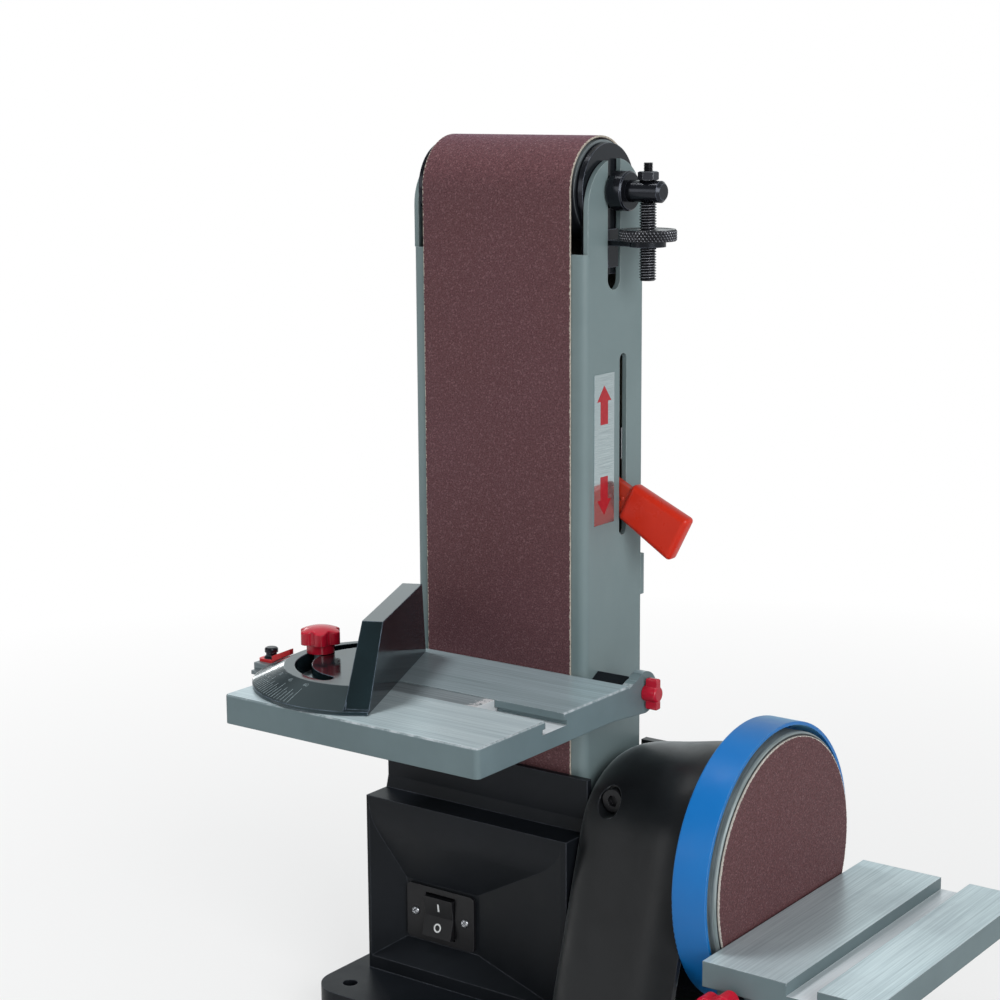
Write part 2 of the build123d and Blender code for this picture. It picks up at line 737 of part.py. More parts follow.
# Arm frame: a sheet channel whose front web is the platen, with forked cheeks at the top
with BuildPart() as arm_frame:
    with BuildSketch(Plane.XY.offset(web_low)):
        with Locations((0, web_front)):
            outer = Rectangle(2 * arm_half_width, 2 * bend_radius, align=(Align.CENTER, Align.MIN))
        fillet(outer.vertices().group_by(Axis.Y)[0], radius=bend_radius)
        with Locations((0, web_back)):
            inner = Rectangle(2 * arm_inside, 2 * bend_radius, align=(Align.CENTER, Align.MIN),
                              mode=Mode.PRIVATE)
        add(inner, mode=Mode.SUBTRACT)
    extrude(amount=web_top - web_low)
    foot_round = (arm_rear - web_back) / 2
    foot_middle = (arm_rear + web_back) / 2
    for side in (-1, 1):
        start = side * arm_inside if side > 0 else -arm_half_width
        with BuildSketch(Plane.YZ.offset(start)):
            with BuildLine():
                Line((web_back, shaft_height), (web_back, web_low))
                Line((web_back, web_low), (web_front + bend_radius, web_low))
                Line((web_front + bend_radius, web_low), (web_front + bend_radius, web_top))
                Line((web_front + bend_radius, web_top), (fork_front, web_top))
                Line((fork_front, web_top), (fork_front, fork_centre))
                ThreePointArc((fork_front, fork_centre), (fork_middle, fork_centre + fork_radius),
                              (arm_rear, fork_centre))
                Line((arm_rear, fork_centre), (arm_rear, shaft_height))
                ThreePointArc((arm_rear, shaft_height), (foot_middle, shaft_height - foot_round),
                              (web_back, shaft_height))
            make_face()
        extrude(amount=sheet)
    bar_x(-arm_half_width - boss_length, -arm_inside, boss_radius)
    bar_x(arm_inside, arm_half_width + boss_length, boss_radius)
    bar_x(-arm_half_width - boss_length, arm_half_width + boss_length, spigot_radius + pivot_clearance,
          mode=Mode.SUBTRACT)
    # open slots for the idler shaft
    slot_foot = idler_height - fork_slot_drop
    with BuildSketch(Plane.YZ.offset(-arm_half_width)):
        with BuildLine():
            Line((-fork_slot / 2, slot_foot + fork_slot / 2), (-fork_slot / 2, idler_height + 60))
            Line((-fork_slot / 2, idler_height + 60), (fork_slot / 2, idler_height + 60))
            Line((fork_slot / 2, idler_height + 60), (fork_slot / 2, slot_foot + fork_slot / 2))
            ThreePointArc((fork_slot / 2, slot_foot + fork_slot / 2), (0, slot_foot),
                          (-fork_slot / 2, slot_foot + fork_slot / 2))
        make_face()
    extrude(amount=2 * arm_half_width, mode=Mode.SUBTRACT)
    # upright slot for the tension lever in the right cheek
    with BuildSketch(Plane.YZ.offset(arm_inside)):
        with Locations((lever_y, lever_height)):
            SlotOverall(lever_slot_length, lever_slot_width, rotation=90)
    extrude(amount=sheet, mode=Mode.SUBTRACT)
    bar_x(-arm_half_width, arm_half_width, table_bolt + bolt_slack, ear_y, ear_z, mode=Mode.SUBTRACT)
save(arm_frame, "arm_frame")

# Rear guard behind the belt's back run, with two side tabs
guard_y = belt_outer + guard_gap
guard_back = guard_y + guard_plate
guard_low = web_low + guard_rise
guard_high = idler_height - guard_drop
tab_low = shaft_height + tab_rise
tab_high = tab_low + tab_height
with BuildPart() as rear_guard:
    block(-arm_inside, arm_inside, guard_y, guard_back, guard_low, guard_high)
    for side in (-1, 1):
        x0, x1 = sorted((side * arm_inside, side * (arm_inside - guard_plate)))
        block(x0, x1, arm_rear - guard_flange, guard_back, guard_low, guard_high)
        x0, x1 = sorted((side * arm_inside, side * arm_half_width))
        block(x0, x1, arm_rear, guard_back, tab_low, tab_high)
save(rear_guard, "rear_guard")

# Abrasive belt: one closed loop round both drums
with BuildPart() as sanding_belt:
    with BuildSketch(Plane.YZ.offset(-belt_width / 2)):
        with Locations((0, (shaft_height + idler_height) / 2)):
            SlotCenterToCenter(centre_distance, 2 * belt_outer, rotation=90)
            SlotCenterToCenter(centre_distance, 2 * belt_inner, rotation=90, mode=Mode.SUBTRACT)
    extrude(amount=belt_width)
save(sanding_belt, "sanding_belt")

# Direction label beside the lever slot
label_back = lever_y - lever_slot_width / 2 - label_gap
with BuildPart() as tension_label:
    block(arm_half_width, arm_half_width + label_thickness, label_back - label_width, label_back,
          lever_height - label_height / 2, lever_height + label_height / 2)
save(tension_label, "tension_label")

# Strap across the arm behind the lever, with the lever's pivot pin
lever_back = lever_y + lever_thickness / 2
lever_front = lever_y - lever_thickness / 2
with BuildPart() as lever_pivot_pin:
    block(-arm_inside, arm_inside, lever_back + 1, lever_back + 1 + strap_plate,
          lever_height - strap_half, lever_height + strap_half)
    bar_y(lever_front - 1.8, lever_back + 1, lever_pin_radius, lever_pivot_x, lever_height)
    bar_y(lever_front - 1.8, lever_front - 0.3, lever_pin_radius + 0.6, lever_pivot_x, lever_height)
save(lever_pivot_pin, "lever_pivot_pin")

# Crossbar that the tension spring stands on
yoke_low = idler_axis - yoke_length
spring_low = yoke_low - spring_length
with BuildPart() as spring_crossbar:
    block(-arm_inside, arm_inside, -spring_radius, spring_radius, spring_low - crossbar_height, spring_low)
    bar_z(spring_low - crossbar_height, spring_low, stem_radius + 0.5, stem_x, 0, mode=Mode.SUBTRACT)
save(spring_crossbar, "spring_crossbar")

with BuildPart() as tension_spring:
    bar_z(spring_low, yoke_low, spring_radius, stem_x, 0)
    bar_z(spring_low, yoke_low, spring_radius - spring_wire, stem_x, 0, mode=Mode.SUBTRACT)
save(tension_spring, "tension_spring")

# Tension lever: a flat bar from its tail pin to the grip
lever_plane = Plane(
    origin=(lever_pivot_x, lever_back, lever_height),
    x_dir=(cos(radians(lever_angle)), 0, sin(radians(lever_angle))),
    z_dir=(0, -1, 0),
)
insert_depth = 26.0
with BuildPart() as tension_lever:
    with BuildSketch(lever_plane):
        with Locations(((grip_start + insert_depth) / 2, 0)):
            Rectangle(grip_start + insert_depth, lever_width)
        Circle(lever_width / 2)
        with Locations((-tail_reach, 0)):
            Circle(tail_pin_radius + 2)
        Circle(lever_pin_radius + 0.08, mode=Mode.SUBTRACT)
    extrude(amount=lever_thickness)
    with BuildSketch(lever_plane.offset(lever_thickness)):
        with Locations((-tail_reach, 0)):
            Circle(tail_pin_radius)
    extrude(amount=lever_front + 6)
save(tension_lever, "tension_lever")

# Moulded grip pushed over the lever's end
grip_margin = (grip_thickness - lever_thickness) / 2
with BuildPart() as lever_grip:
    with BuildSketch(lever_plane.offset(-grip_margin)):
        with BuildLine():
            Polyline((grip_start, -grip_near / 2), (grip_start, grip_near / 2), (grip_end, grip_far / 2),
                     (grip_end, -grip_far / 2), close=True)
        make_face()
    extrude(amount=grip_thickness)
    fillet(lever_grip.edges(), radius=grip_edge)
    with BuildSketch(lever_plane.offset(-fit_clearance)):
        with Locations((grip_start + insert_depth / 2, 0)):
            Rectangle(insert_depth + 2 * fit_clearance, lever_width + 2 * fit_clearance)
    extrude(amount=lever_thickness + 2 * fit_clearance, mode=Mode.SUBTRACT)
save(lever_grip, "lever_grip")

# Tension yoke: round-topped arms beside the idler, a bar below it, and a stem down to the lever's tail
yoke_inside = yoke_outside - yoke_plate
tail_x = lever_pivot_x - tail_reach * cos(radians(lever_angle))
tail_z = lever_height - tail_reach * sin(radians(lever_angle))
with BuildPart() as tension_yoke:
    for start in (-yoke_outside, yoke_inside):
        with BuildSketch(Plane.YZ.offset(start)):
            with Locations((0, idler_axis)):
                Circle(yoke_radius)
            with Locations((0, (idler_axis + yoke_low) / 2)):
                Rectangle(2 * yoke_leg, yoke_length)
        extrude(amount=yoke_plate)
    block(-yoke_outside, yoke_outside, -yoke_bar_depth, yoke_bar_depth, yoke_low, yoke_low + yoke_bar_height)
    bar_z(tail_z + 6, yoke_low + yoke_bar_height, stem_radius, stem_x, 0)
    block(tail_x - 9, tail_x + 7, -4.5, 4.5, tail_z - 8, tail_z + 10)
    with BuildSketch(Plane.XZ.offset(-10)):
        with Locations((tail_x - 0.5, tail_z)):
            SlotOverall(2 * tail_pin_radius + 4, 2 * (tail_pin_radius + tail_clearance))
    extrude(amount=20, mode=Mode.SUBTRACT)
    bar_x(-yoke_outside, -yoke_inside, idler_shaft_radius + shaft_slack, 0, idler_axis, mode=Mode.SUBTRACT)
    with BuildSketch(Plane.YZ.offset(yoke_inside)):
        with Locations((0, idler_axis + (shaft_rise_room - shaft_drop_room) / 2)):
            SlotOverall(2 * (idler_shaft_radius + shaft_slack) + shaft_rise_room + shaft_drop_room,
                        2 * (idler_shaft_radius + shaft_slack), rotation=90)
    extrude(amount=yoke_plate, mode=Mode.SUBTRACT)
save(tension_yoke, "tension_yoke")

# Bracket bent out through the fork slot; the tracking wheel sits on its round end
wheel_low = idler_height - wheel_drop
bracket_top = wheel_low - seat_gap
with BuildPart() as tracking_bracket:
    with BuildSketch(Plane.XY.offset(bracket_top - lug_plate)):
        with Locations((stud_x, 0)):
            Circle(lug_radius)
        with Locations(((yoke_outside + stud_x) / 2, 0)):
            Rectangle(stud_x - yoke_outside, lug_tongue)
        with Locations((stud_x, 0)):
            Circle(lug_bore, mode=Mode.SUBTRACT)
    extrude(amount=lug_plate)
    block(yoke_outside, yoke_outside + lug_plate, -lug_tongue / 2, lug_tongue / 2,
          yoke_low + 4, bracket_top + 6)
save(tracking_bracket, "tracking_bracket")

# Idler shaft, drilled across for the tracking stud
with BuildPart() as idler_shaft:
    bar_x(idler_shaft_left, idler_shaft_right, idler_shaft_radius, 0, idler_axis)
    chamfer(idler_shaft.edges().filter_by(GeomType.CIRCLE), length=shaft_chamfer)
    bar_z(idler_axis - 10, idler_axis + 10, stud_top_radius + fit_clearance, stud_x, 0, mode=Mode.SUBTRACT)
save(idler_shaft, "idler_shaft")

with BuildPart() as shaft_collar:
    ring_x(collar_left, collar_left + collar_width, collar_radius, idler_shaft_radius + fit_clearance,
           0, idler_axis)
    chamfer(shaft_collar.edges().filter_by(GeomType.CIRCLE).group_by(Axis.X)[-1].sort_by(SortBy.RADIUS)[-1],
            length=0.8)
    bar_z(idler_axis, idler_axis + 20, 2.2, collar_left + collar_width / 2, 0, mode=Mode.SUBTRACT)
save(shaft_collar, "shaft_collar")

with BuildPart() as collar_screw:
    bar_z(idler_axis + idler_shaft_radius + 0.05, idler_axis + collar_radius - 1.5, 2.15,
          collar_left + collar_width / 2, 0)
save(collar_screw, "collar_screw")

# Tracking stud: a thick thread below the shaft and a thin end through it
with BuildPart() as tracking_stud:
    bar_z(idler_axis - stud_bottom_drop, idler_axis - idler_shaft_radius, stud_radius, stud_x, 0)
    chamfer(tracking_stud.edges().filter_by(GeomType.CIRCLE).group_by(Axis.Z)[0], length=0.8)
    bar_z(idler_axis - idler_shaft_radius, idler_axis + stud_top_rise, stud_top_radius, stud_x, 0)
save(tracking_stud, "tracking_stud")

with BuildPart() as stud_nut:
    with BuildSketch(Plane.XY.offset(idler_axis + idler_shaft_radius)):
        with Locations((stud_x, 0)):
            RegularPolygon(radius=nut_flats / 2, side_count=6, major_radius=False)
            Circle(stud_top_radius + fit_clearance, mode=Mode.SUBTRACT)
    extrude(amount=nut_height)
save(stud_nut, "stud_nut")

with BuildPart() as tracking_wheel:
    bar_z(wheel_low, wheel_low + wheel_thickness, wheel_radius, stud_x, 0)
    chamfer(tracking_wheel.edges().filter_by(GeomType.CIRCLE), length=0.7)
    bar_z(wheel_low, wheel_low + wheel_thickness, wheel_bore, stud_x, 0, mode=Mode.SUBTRACT)
save(tracking_wheel, "tracking_wheel")

# Idler drum: crowned rim, bored hub and ribs
half = drum_width / 2
hub_half = half - drum_recess
with BuildPart() as idler_drum:
    with BuildSketch(Plane.XY.offset(idler_axis)):
        with BuildLine():
            ThreePointArc((-half, drum_radius - drum_crown), (0, drum_radius),
                          (half, drum_radius - drum_crown))
            Line((half, drum_radius - drum_crown), (half, drum_radius - drum_wall))
            Line((half, drum_radius - drum_wall), (-half, drum_radius - drum_wall))
            Line((-half, drum_radius - drum_wall), (-half, drum_radius - drum_crown))
        make_face()
    revolve(axis=Axis((0, 0, idler_axis), (1, 0, 0)))
    ring_x(-hub_half, hub_half, idler_hub_radius, idler_bearing_radius - 3, 0, idler_axis)
    with BuildSketch(Plane.YZ.offset(-hub_half)):
        with Locations((0, idler_axis)):
            with PolarLocations((idler_hub_radius + drum_radius - drum_wall) / 2, rib_count):
                Rectangle(drum_radius - drum_wall - idler_hub_radius + 2, rib_thickness)
    extrude(amount=2 * hub_half)
    for start in (-hub_half, hub_half - idler_bearing_width):
        bar_x(start, start + idler_bearing_width, idler_bearing_radius + fit_clearance, 0, idler_axis,
              mode=Mode.SUBTRACT)
save(idler_drum, "idler_drum")

with BuildPart() as idler_bearings:
    for start in (-hub_half, hub_half - idler_bearing_width):
        ring_x(start, start + idler_bearing_width, idler_bearing_radius, idler_shaft_radius + fit_clearance,
               0, idler_axis)
save(idler_bearings, "idler_bearings")

# Belt table: a ribbed casting with two ears, a T-slot and an undercut rear edge
with BuildPart() as belt_table:
    with BuildSketch(Plane.YZ.offset(table_left)):
        with BuildLine():
            Polyline((table_front, table_bottom), (table_front, table_top), (table_back, table_top),
                     (table_back, table_top - 0.5), (table_back - table_thickness + 0.5, table_bottom),
                     close=True)
        make_face()
    extrude(amount=table_right - table_left)
    fillet(belt_table.edges().filter_by(Axis.Z).group_by(Axis.Y)[0], radius=table_corner)
    upper_edges = belt_table.faces().sort_by(Axis.Z)[-1].edges().sort_by(Axis.Y)
    fillet(upper_edges[:-1], radius=table_edge)
    for start in (table_left, table_right - ear_thickness):
        with BuildSketch(Plane.YZ.offset(start)):
            with Locations((ear_y, ear_z)):
                Circle(ear_radius)
            with BuildLine():
                Polyline((ear_y, ear_z - ear_radius), (table_back - table_thickness, table_bottom),
                         (table_back - table_thickness, table_top - table_edge),
                         (table_back, table_top - table_edge),
                         (ear_y - ear_radius * 0.8, table_top + 1.5), (ear_y, ear_z + ear_radius * 0.6),
                         close=True)
            make_face()
        extrude(amount=ear_thickness)
    block(table_left, table_right, slot_y - mitre_slot_width / 2, slot_y + mitre_slot_width / 2,
          slot_floor, table_top, mode=Mode.SUBTRACT)
    block(table_left, table_right, slot_y - mitre_under_width / 2, slot_y + mitre_under_width / 2,
          slot_floor, slot_floor + mitre_under_height, mode=Mode.SUBTRACT)
    # ribbed underside in front of and behind the slot
    slot_rib = mitre_under_width / 2 + 4
    bays = ((table_front + table_rim, slot_y - slot_rib),
            (slot_y + slot_rib, table_back - table_thickness - 2))
    cells = 3
    cell_width = (table_right - table_left - table_rim * (cells + 1)) / cells
    for front, back in bays:
        for cell in range(cells):
            left = table_left + table_rim + cell * (cell_width + table_rim)
            block(left, left + cell_width, front, back, table_bottom, table_top - table_skin,
                  mode=Mode.SUBTRACT)
    bar_x(table_left, table_right, table_bolt + bolt_slack, ear_y, ear_z, mode=Mode.SUBTRACT)
save(belt_table, "belt_table")

# Hexagonal spacers between the arm and the table's ears
with BuildPart() as table_spacers:
    left_span = (table_left + ear_thickness + 0.3, -arm_half_width)
    right_span = (arm_half_width, table_right - ear_thickness - 0.3)
    for x0, x1 in (left_span, right_span):
        with BuildSketch(Plane.YZ.offset(x0)):
            with Locations((ear_y, ear_z)):
                RegularPolygon(radius=hex_flats / 2, side_count=6, major_radius=False, rotation=30)
                Circle(table_bolt + bolt_slack, mode=Mode.SUBTRACT)
        extrude(amount=x1 - x0)
save(table_spacers, "table_spacers")

# Long bolt through the arm, the spacers and both ears
bolt_end = table_right + 6
with BuildPart() as table_bolt_rod:
    bar_x(table_left - 0.5, table_right, table_bolt, ear_y, ear_z)
    bar_x(table_right, bolt_end, table_bolt_tip, ear_y, ear_z)
    with BuildSketch(Plane.YZ.offset(table_left - 6)):
        with Locations((ear_y, ear_z)):
            RegularPolygon(radius=hex_flats / 2, side_count=6, major_radius=False)
    extrude(amount=5.7)
save(table_bolt_rod, "table_pivot_bolt")

# Wing knob that clamps the table: a round hub with two wings
knob_left = table_right + knob_seat
knob_right = knob_left + knob_length
with BuildPart() as table_knob:
    bar_x(knob_left, knob_right + knob_seat, knob_hub, ear_y, ear_z)
    fillet(table_knob.edges().filter_by(GeomType.CIRCLE).sort_by(Axis.X)[-1], radius=1.2)
    block(knob_left + 1.2, knob_right, ear_y - knob_wing / 2, ear_y + knob_wing / 2,
          ear_z - knob_reach, ear_z + knob_reach)
    wing_tips = table_knob.edges().filter_by(lambda e: abs(e.center().Z - ear_z) > knob_reach - 0.1)
    fillet(wing_tips, radius=1.2)
    bar_x(table_right, bolt_end + 0.4, table_bolt_tip + 0.1, ear_y, ear_z, mode=Mode.SUBTRACT)
save(table_knob, "table_knob")

# Mitre bar with its T flange, pivot and lock stud
flange_top = slot_floor + mitre_under_height - slide_clearance
knob_x = mitre_pivot_x - mitre_arc_radius
with BuildPart() as mitre_bar:
    block(mitre_bar_left, mitre_bar_right, slot_y - mitre_slot_width / 2 + slide_clearance,
          slot_y + mitre_slot_width / 2 - slide_clearance, slot_floor + slide_clearance, bar_top)
    block(mitre_bar_left, mitre_bar_right, slot_y - mitre_under_width / 2 + slide_clearance,
          slot_y + mitre_under_width / 2 - slide_clearance, slot_floor + slide_clearance, flange_top)
    bar_z(bar_top - 1, head_top + 9, mitre_stud, knob_x, slot_y)
    bar_z(bar_top - 1, head_base + 6, mitre_stud, mitre_pivot_x, slot_y)
save(mitre_bar, "mitre_bar")

# Pointer on the bar's end: a foot under the screw and a narrowing tongue over the scale
tongue_left = mitre_bar_left + pointer_root
tongue_right = mitre_bar_left + pointer_reach
with BuildPart() as mitre_pointer:
    block(mitre_bar_left, tongue_left, slot_y - pointer_half, slot_y + pointer_half,
          bar_top, bar_top + pointer_sheet)
    fillet(mitre_pointer.edges().filter_by(Axis.Z).group_by(Axis.X)[0], radius=2)
    with BuildSketch(Plane.YZ.offset(tongue_left)):
        with Locations((slot_y, bar_top + (pointer_low + pointer_high) / 2)):
            Rectangle(2 * pointer_half, pointer_high - pointer_low)
    with BuildSketch(Plane.YZ.offset(tongue_right)):
        with Locations((slot_y, bar_top + (pointer_tip_low + pointer_tip_high) / 2)):
            Rectangle(pointer_tip_width, pointer_tip_high - pointer_tip_low)
    loft(ruled=True)
save(mitre_pointer, "mitre_pointer")

# Thumb screw that holds the pointer: a coned foot, a neck and a domed head
thumb_x = tongue_left - 4.7
thumb_z = bar_top + pointer_sheet
with BuildPart() as pointer_screw:
    with Locations((thumb_x, slot_y, thumb_z)):
        Cone(4.5, 3.4, 1.6, align=(Align.CENTER, Align.CENTER, Align.MIN))
    bar_z(thumb_z + 1.6, thumb_z + 3.6, 3.2, thumb_x, slot_y)
    bar_z(thumb_z + 3.6, thumb_z + 6.4, 3.9, thumb_x, slot_y)
    fillet(pointer_screw.edges().filter_by(GeomType.CIRCLE).sort_by(Axis.Z)[-1], radius=1.3)
save(pointer_screw, "pointer_screw")

# Mitre head: a bevelled half disc with an arc slot, and a fence with sloping ends on a thin foot
head_plane = Plane(
    origin=(mitre_pivot_x, slot_y, head_base),
    x_dir=(cos(radians(mitre_angle)), sin(radians(mitre_angle)), 0),
    z_dir=(0, 0, 1),
)
fence_rear = fence_face - fence_base
fence_rear_top = fence_face - fence_top
with BuildPart() as mitre_head:
    with BuildSketch(head_plane):
        Circle(mitre_lip_radius)
        with Locations((mitre_lip_radius, 0)):
            Rectangle(2 * mitre_lip_radius, 2 * mitre_lip_radius, mode=Mode.SUBTRACT)
        with BuildLine():
            Polyline((0, -mitre_lip_radius), (fence_face, fence_front_base - fence_foot),
                     (fence_face, fence_back_base), (0, mitre_lip_radius), close=True)
        make_face()
    extrude(amount=mitre_lip_height)
    with BuildSketch(head_plane.offset(mitre_lip_height)):
        Circle(mitre_lip_radius)
        with Locations((mitre_lip_radius, 0)):
            Rectangle(2 * mitre_lip_radius, 2 * mitre_lip_radius, mode=Mode.SUBTRACT)
    with BuildSketch(head_plane.offset(mitre_head_height)):
        with Locations((-mitre_top_shift, 0)):
            Circle(mitre_top_radius)
        with Locations((mitre_lip_radius, 0)):
            Rectangle(2 * mitre_lip_radius, 2 * mitre_lip_radius, mode=Mode.SUBTRACT)
    loft(ruled=True)
    with BuildSketch(head_plane):
        with BuildLine():
            Polyline((fence_face, fence_front_base), (fence_face, fence_back_base),
                     (fence_rear, fence_back_base), (fence_rear, fence_front_base), close=True)
        make_face()
    with BuildSketch(head_plane.offset(fence_height)):
        with BuildLine():
            Polyline((fence_face, fence_front_top), (fence_face, fence_back_top),
                     (fence_rear_top, fence_back_top), (fence_rear_top, fence_front_top), close=True)
        make_face()
    loft(ruled=True)
    arc_inner = mitre_arc_radius - mitre_arc_width / 2
    arc_outer = mitre_arc_radius + mitre_arc_width / 2
    arc_first = 180 - mitre_arc_half
    arc_last = 180 + mitre_arc_half
    cap_turn = mitre_arc_half + 0.5 * mitre_arc_width / mitre_arc_radius * 180 / pi
    with BuildSketch(head_plane):
        with BuildLine():
            ThreePointArc(polar(arc_outer, arc_first), polar(arc_outer, 180), polar(arc_outer, arc_last))
            ThreePointArc(polar(arc_outer, arc_last), polar(mitre_arc_radius, 180 + cap_turn),
                          polar(arc_inner, arc_last))
            ThreePointArc(polar(arc_inner, arc_last), polar(arc_inner, 180), polar(arc_inner, arc_first))
            ThreePointArc(polar(arc_inner, arc_first), polar(mitre_arc_radius, 180 - cap_turn),
                          polar(arc_outer, arc_first))
        make_face()
    extrude(amount=mitre_head_height, mode=Mode.SUBTRACT)
    with BuildSketch(head_plane):
        Circle(mitre_stud + 0.08)
    extrude(amount=7, mode=Mode.SUBTRACT)
save(mitre_head, "mitre_head")

# Lobed lock knob on the mitre stud, with a domed crown
lobe_low = head_top + knob_seat + mitre_hub_height
lobe_high = lobe_low + mitre_lobe_height
with BuildPart() as mitre_knob:
    with BuildSketch(Plane.XY.offset(lobe_low)):
        with Locations((knob_x, slot_y)):
            lobed_outline(mitre_knob_radius, 6, mitre_knob_lobe, mitre_knob_turn)
    extrude(amount=mitre_lobe_height)
    with Locations((knob_x, slot_y, lobe_high - mitre_knob_dome)):
        Sphere(mitre_knob_dome, mode=Mode.INTERSECT)
    fillet(mitre_knob.faces().sort_by(Axis.Z)[-1].edges(), radius=1.0)
    bar_z(head_top + knob_seat, lobe_low, mitre_hub_radius, knob_x, slot_y)
    bar_z(head_top, head_top + 9.4, mitre_stud + 0.1, knob_x, slot_y, mode=Mode.SUBTRACT)
save(mitre_knob, "mitre_knob")

# Trunnion plates for the disc table
with BuildPart() as disc_trunnions:
    for side in (-1, 1):
        inner_y = side * trunnion_y
        outer_y = side * (trunnion_y + trunnion_plate)
        far_y = max(inner_y, outer_y)
        with BuildSketch(Plane.XZ.offset(-far_y)):
            with BuildLine():
                Polyline((housing_right + 2, plinth_top), (housing_right + 2 + trunnion_foot, plinth_top),
                         (disc_pivot_x + trunnion_radius * 0.8, disc_pivot_z - trunnion_radius * 0.6),
                         (disc_pivot_x - trunnion_radius * 0.8, disc_pivot_z + trunnion_radius * 0.6),
                         close=True)
            make_face()
            with Locations((disc_pivot_x, disc_pivot_z)):
                Circle(trunnion_radius)
                Circle(trunnion_bolt + bolt_slack, mode=Mode.SUBTRACT)
        extrude(amount=trunnion_plate)
save(disc_trunnions, "disc_trunnions")

# Disc table with its ears between the trunnions
disc_table_right = disc_table_left + disc_table_reach
with BuildPart() as disc_table:
    block(disc_table_left, disc_table_right, -disc_table_width / 2, disc_table_width / 2,
          disc_table_low, disc_table_top)
    fillet(disc_table.edges().filter_by(Axis.Z).group_by(Axis.X)[-1], radius=10)
    slot_x = disc_table_left + 58
    block(slot_x - mitre_slot_width / 2, slot_x + mitre_slot_width / 2, -disc_table_width / 2,
          disc_table_width / 2, disc_table_top - mitre_slot_depth - mitre_under_height, disc_table_top,
          mode=Mode.SUBTRACT)
    block(disc_table_left + 8, slot_x - 16, -disc_table_width / 2 + 24, disc_table_width / 2 - 24,
          disc_table_low, disc_table_top - table_skin, mode=Mode.SUBTRACT)
    block(slot_x + 16, disc_table_right - 8, -disc_table_width / 2 + 10, disc_table_width / 2 - 10,
          disc_table_low, disc_table_top - table_skin, mode=Mode.SUBTRACT)
    for side in (-1, 1):
        near = side * (trunnion_y - trunnion_gap)
        far = side * (trunnion_y - trunnion_gap - trunnion_plate)
        with BuildSketch(Plane.XZ.offset(-max(near, far))):
            with Locations((disc_pivot_x, disc_pivot_z)):
                Circle(trunnion_radius)
            with Locations((disc_pivot_x, (disc_pivot_z + disc_table_low + 2) / 2)):
                Rectangle(2 * trunnion_radius, disc_table_low + 2 - disc_pivot_z)
            with Locations((disc_pivot_x, disc_pivot_z)):
                Circle(trunnion_bolt + bolt_slack, mode=Mode.SUBTRACT)
        extrude(amount=trunnion_plate)
save(disc_table, "disc_table")

# Pivot bolts of the disc table
bolt_inner = trunnion_y - trunnion_plate - pivot_head_height - 0.8
bolt_outer = trunnion_y + trunnion_plate + pivot_bolt_reach
with BuildPart() as disc_pivot_bolts:
    for side in (-1, 1):
        y0, y1 = sorted((side * bolt_inner, side * bolt_outer))
        bar_y(y0, y1, trunnion_bolt, disc_pivot_x, disc_pivot_z)
        y0, y1 = sorted((side * bolt_inner, side * (bolt_inner + pivot_head_height)))
        bar_y(y0, y1, pivot_head_radius, disc_pivot_x, disc_pivot_z)
save(disc_pivot_bolts, "disc_pivot_bolts")

# Star knobs that clamp the disc table
outer_face = -(trunnion_y + trunnion_plate)
with BuildPart() as disc_knob_front:
    with BuildSketch(Plane.XZ.offset(-outer_face + 3)):
        with Locations((disc_pivot_x, disc_pivot_z)):
            lobed_outline(disc_knob_radius, 5, disc_knob_lobe)
    extrude(amount=disc_knob_thickness)
    fillet(disc_knob_front.edges().group_by(Axis.Y)[0], radius=1.8)
    bar_y(outer_face - 3, outer_face - knob_seat, 8.0, disc_pivot_x, disc_pivot_z)
    bar_y(outer_face - pivot_bolt_reach - 0.5, outer_face, trunnion_bolt + 0.1, disc_pivot_x, disc_pivot_z,
          mode=Mode.SUBTRACT)
save(disc_knob_front, "disc_knob_front")

with BuildPart() as disc_knob_rear:
    mirror(disc_knob_front.part, about=Plane.XZ)
save(disc_knob_rear, "disc_knob_rear")
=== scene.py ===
import bmesh
import bpy
import json
import math
from mathutils import Matrix, Vector


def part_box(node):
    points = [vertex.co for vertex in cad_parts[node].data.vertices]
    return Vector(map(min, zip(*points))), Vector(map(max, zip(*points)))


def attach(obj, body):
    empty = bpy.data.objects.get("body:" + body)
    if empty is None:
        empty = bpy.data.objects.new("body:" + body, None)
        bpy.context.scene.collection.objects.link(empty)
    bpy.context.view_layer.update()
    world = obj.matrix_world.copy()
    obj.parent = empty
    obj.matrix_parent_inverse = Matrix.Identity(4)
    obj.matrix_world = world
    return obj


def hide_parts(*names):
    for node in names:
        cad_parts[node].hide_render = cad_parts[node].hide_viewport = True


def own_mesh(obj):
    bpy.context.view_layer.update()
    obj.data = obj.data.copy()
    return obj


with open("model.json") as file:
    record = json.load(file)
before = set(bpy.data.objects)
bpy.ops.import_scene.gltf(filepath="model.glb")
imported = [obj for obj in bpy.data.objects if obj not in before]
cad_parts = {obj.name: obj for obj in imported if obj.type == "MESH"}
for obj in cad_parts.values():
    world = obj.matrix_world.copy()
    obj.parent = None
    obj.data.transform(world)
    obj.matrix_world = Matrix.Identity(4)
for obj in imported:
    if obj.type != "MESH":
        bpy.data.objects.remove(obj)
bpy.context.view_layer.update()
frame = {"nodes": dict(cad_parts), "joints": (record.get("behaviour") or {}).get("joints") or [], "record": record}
nodes = frame["nodes"]
scene = bpy.context.scene
joint_at = {j["name"]: Vector(j["pos_m"]) for j in frame["joints"] if "pos_m" in j}
mm = 0.001

